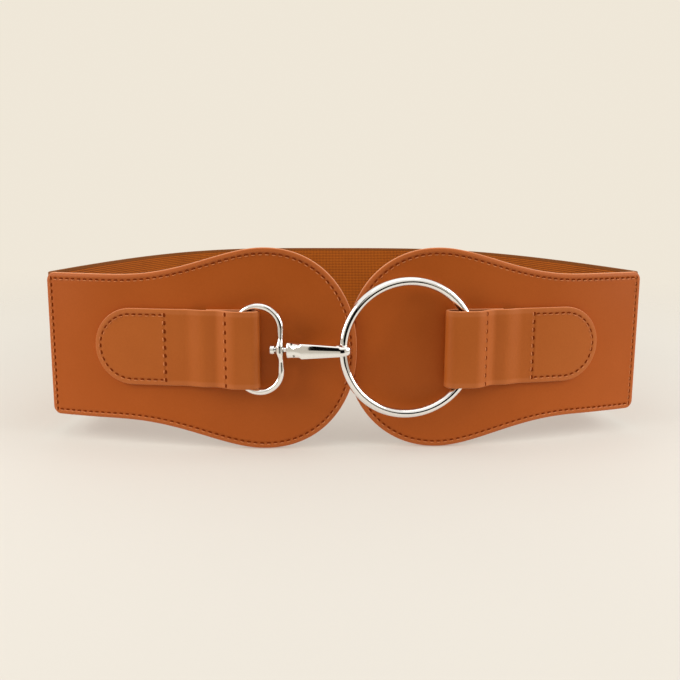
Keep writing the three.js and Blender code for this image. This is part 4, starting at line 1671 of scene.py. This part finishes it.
@dataclass
class Studio:
    """Pale floor, soft lights and the camera (metres and radians)."""

    eye: Point = (-0.02394, -0.33227, 0.09043)
    pitch: float = 0.2539
    yaw: float = -0.0577
    roll: float = 0.0094
    lens: float = 45.0
    aim: Point = (0.0, -0.06, 0.04)
    flag_place: float = -0.255
    floor_colour: Colour = (0.515, 0.5, 0.466, 1.0)
    floor_glow: Colour = (0.863, 0.8, 0.708, 1.0)
    floor_glow_strength: float = 0.3
    floor_reach: float = 0.44
    backdrop: Colour = (0.866, 0.802, 0.69, 1.0)
    fill_front: Colour = (0.12, 0.11, 0.1, 1.0)
    fill_bright: Colour = (0.8, 0.77, 0.72, 1.0)
    mirrored_front: Colour = (0.58, 0.53, 0.45, 1.0)
    mirrored_bright: Colour = (0.97, 0.95, 0.91, 1.0)

    def build(self, stance: Stance) -> None:
        """Makes the floor, the flag, the camera, the world and the lights."""
        bpy.context.scene.view_settings.view_transform = "Standard"
        self.build_floor()
        self.build_flag()
        self.build_camera(stance)
        self.build_world()
        for softbox in SOFTBOXES:
            self.light(softbox)

    def stage_mesh(self, name: str, points: Sequence[Point]) -> bpy.types.Object:
        """One flat stage piece."""
        mesh = bpy.data.meshes.new(name)
        mesh.from_pydata(list(points), [], [tuple(range(len(points)))])
        obj = new_object(name, mesh)
        return obj

    def build_floor(self) -> None:
        """Pale floor that glows softly, so that shadows stay light, and fades into the backdrop."""
        half = self.floor_reach
        corners = [(x * half, y * half, 0.0) for x, y in ((-1, -1), (1, -1), (1, 1), (-1, 1))]
        floor = self.stage_mesh("floor", corners)
        material, n, shader = open_material("pale_floor")
        place = n.add("ShaderNodeTexCoord").outputs["Object"]
        far = n.add("ShaderNodeVectorMath", {0: place}, operation="LENGTH").outputs["Value"]
        n.fill(shader, {
            "Base Color": n.mix(n.noise(place, 9.0, 3.0), dimmed(self.floor_colour, 0.97), self.floor_colour),
            "Alpha": n.math("SUBTRACT", 1.0, n.ramp(far, half * 0.35, half)),
            "Normal": n.bump(n.noise(place, 420.0, 2.0), 0.1, 0.0004),
            "Roughness": 0.85,
            "Emission Color": self.floor_glow,
            "Emission Strength": self.floor_glow_strength,
            "Specular IOR Level": 0.2,
        })
        floor.data.materials.append(material)

    def build_flag(self) -> None:
        """Black studio card in front, seen only as the dark line in polished wire."""
        flag = self.stage_mesh("flag", [(x, self.flag_place, z) for x, z in FLAG_OUTLINE])
        material, n, shader = open_material("black_card")
        n.fill(shader, {"Base Color": (0.004, 0.004, 0.004, 1.0), "Specular IOR Level": 0.0})
        flag.data.materials.append(material)
        for ray in ("camera", "diffuse", "shadow", "transmission"):
            setattr(flag, f"visible_{ray}", False)

    def build_camera(self, stance: Stance) -> None:
        """Camera at the photograph's place and angle."""
        right = Vector((math.cos(self.yaw), math.sin(self.yaw), 0.0))
        ahead = Vector((-math.sin(self.yaw), math.cos(self.yaw), 0.0))
        look = math.cos(self.pitch) * ahead - math.sin(self.pitch) * Vector((0, 0, 1))
        up = math.sin(self.pitch) * ahead + math.cos(self.pitch) * Vector((0, 0, 1))
        turned_right = math.cos(self.roll) * right + math.sin(self.roll) * up
        turned_up = math.cos(self.roll) * up - math.sin(self.roll) * right
        data = bpy.data.cameras.new("camera")
        data.lens = self.lens
        data.sensor_width = 36.0
        data.clip_start = 0.01
        camera = bpy.data.objects.new("camera", data)
        bpy.context.scene.collection.objects.link(camera)
        turn = Matrix((turned_right, turned_up, -look)).transposed().to_4x4()
        shift = Vector(stance.shift) * MM
        camera.matrix_world = Matrix.Translation(Vector(self.eye) + shift) @ turn
        bpy.context.scene.camera = camera

    def build_world(self) -> None:
        """Pale backdrop for the camera; for light and reflections the front is dimmer."""
        world = bpy.data.worlds.new("studio")
        world.use_nodes = True
        bpy.context.scene.world = world
        n = Nodes(world.node_tree)
        ray = n.add("ShaderNodeTexCoord").outputs["Generated"]
        way = n.add("ShaderNodeSeparateXYZ", {0: ray}).outputs
        ceiling = n.ramp(way["Z"], 0.3, 0.62)
        behind = n.math("MULTIPLY", n.ramp(way["Y"], 0.1, 0.5), 0.7)
        bright = n.math("MAXIMUM", ceiling, behind)
        fill = n.mix(bright, self.fill_front, self.fill_bright)
        mirrored = n.mix(bright, self.mirrored_front, self.mirrored_bright)
        path = n.add("ShaderNodeLightPath").outputs
        room = n.mix(path["Is Glossy Ray"], fill, mirrored)
        seen = n.mix(path["Is Camera Ray"], room, self.backdrop)
        n.link(seen, world.node_tree.nodes["Background"].inputs["Color"])

    def light(self, softbox: Softbox) -> None:
        """Adds a light that faces the belt's front."""
        data = bpy.data.lights.new(softbox.name, "AREA")
        data.shape = "RECTANGLE"
        data.size, data.size_y = softbox.size
        data.energy = softbox.power
        data.color = softbox.colour
        light = bpy.data.objects.new(softbox.name, data)
        light.visible_camera = False
        light.location = softbox.at
        aim = Vector(self.aim) - Vector(softbox.at)
        light.rotation_euler = aim.to_track_quat("-Z", "Y").to_euler()
        bpy.context.scene.collection.objects.link(light)


def main() -> None:
    logging.basicConfig(level=logging.INFO, format="%(name)s: %(message)s")
    half = Panel.band_height / 2.0
    stance = Stance.from_frame(
        half + Panel.lobe_rise, half - ElasticBand.inset, ElasticBand.depth, Panel.wall
    )
    panel = Panel(Side.RIGHT, stance)
    finishes = Finishes()
    sewing = Sewing(Thread(), finishes.thread, finishes.lip)
    ring = Ring(stance)
    sizes = ClaspSizes()
    strap = StrapSizes()
    layout = Layout(sizes, ring, panel, strap)
    Studio().build(stance)
    ElasticBand(stance, panel).build(finishes)
    end = panel.length - panel.overlap / 2.0 - strap.end_margin
    for side in Side:
        Panel(side, stance).build(finishes, sewing)
        Strap(side, stance, layout.pockets[side], strap, end).build(finishes, sewing)
    ring.build(layout.ring_place(stance), finishes)
    Clasp(sizes, layout, stance).build(finishes)


if __name__ == "__main__":
    main()
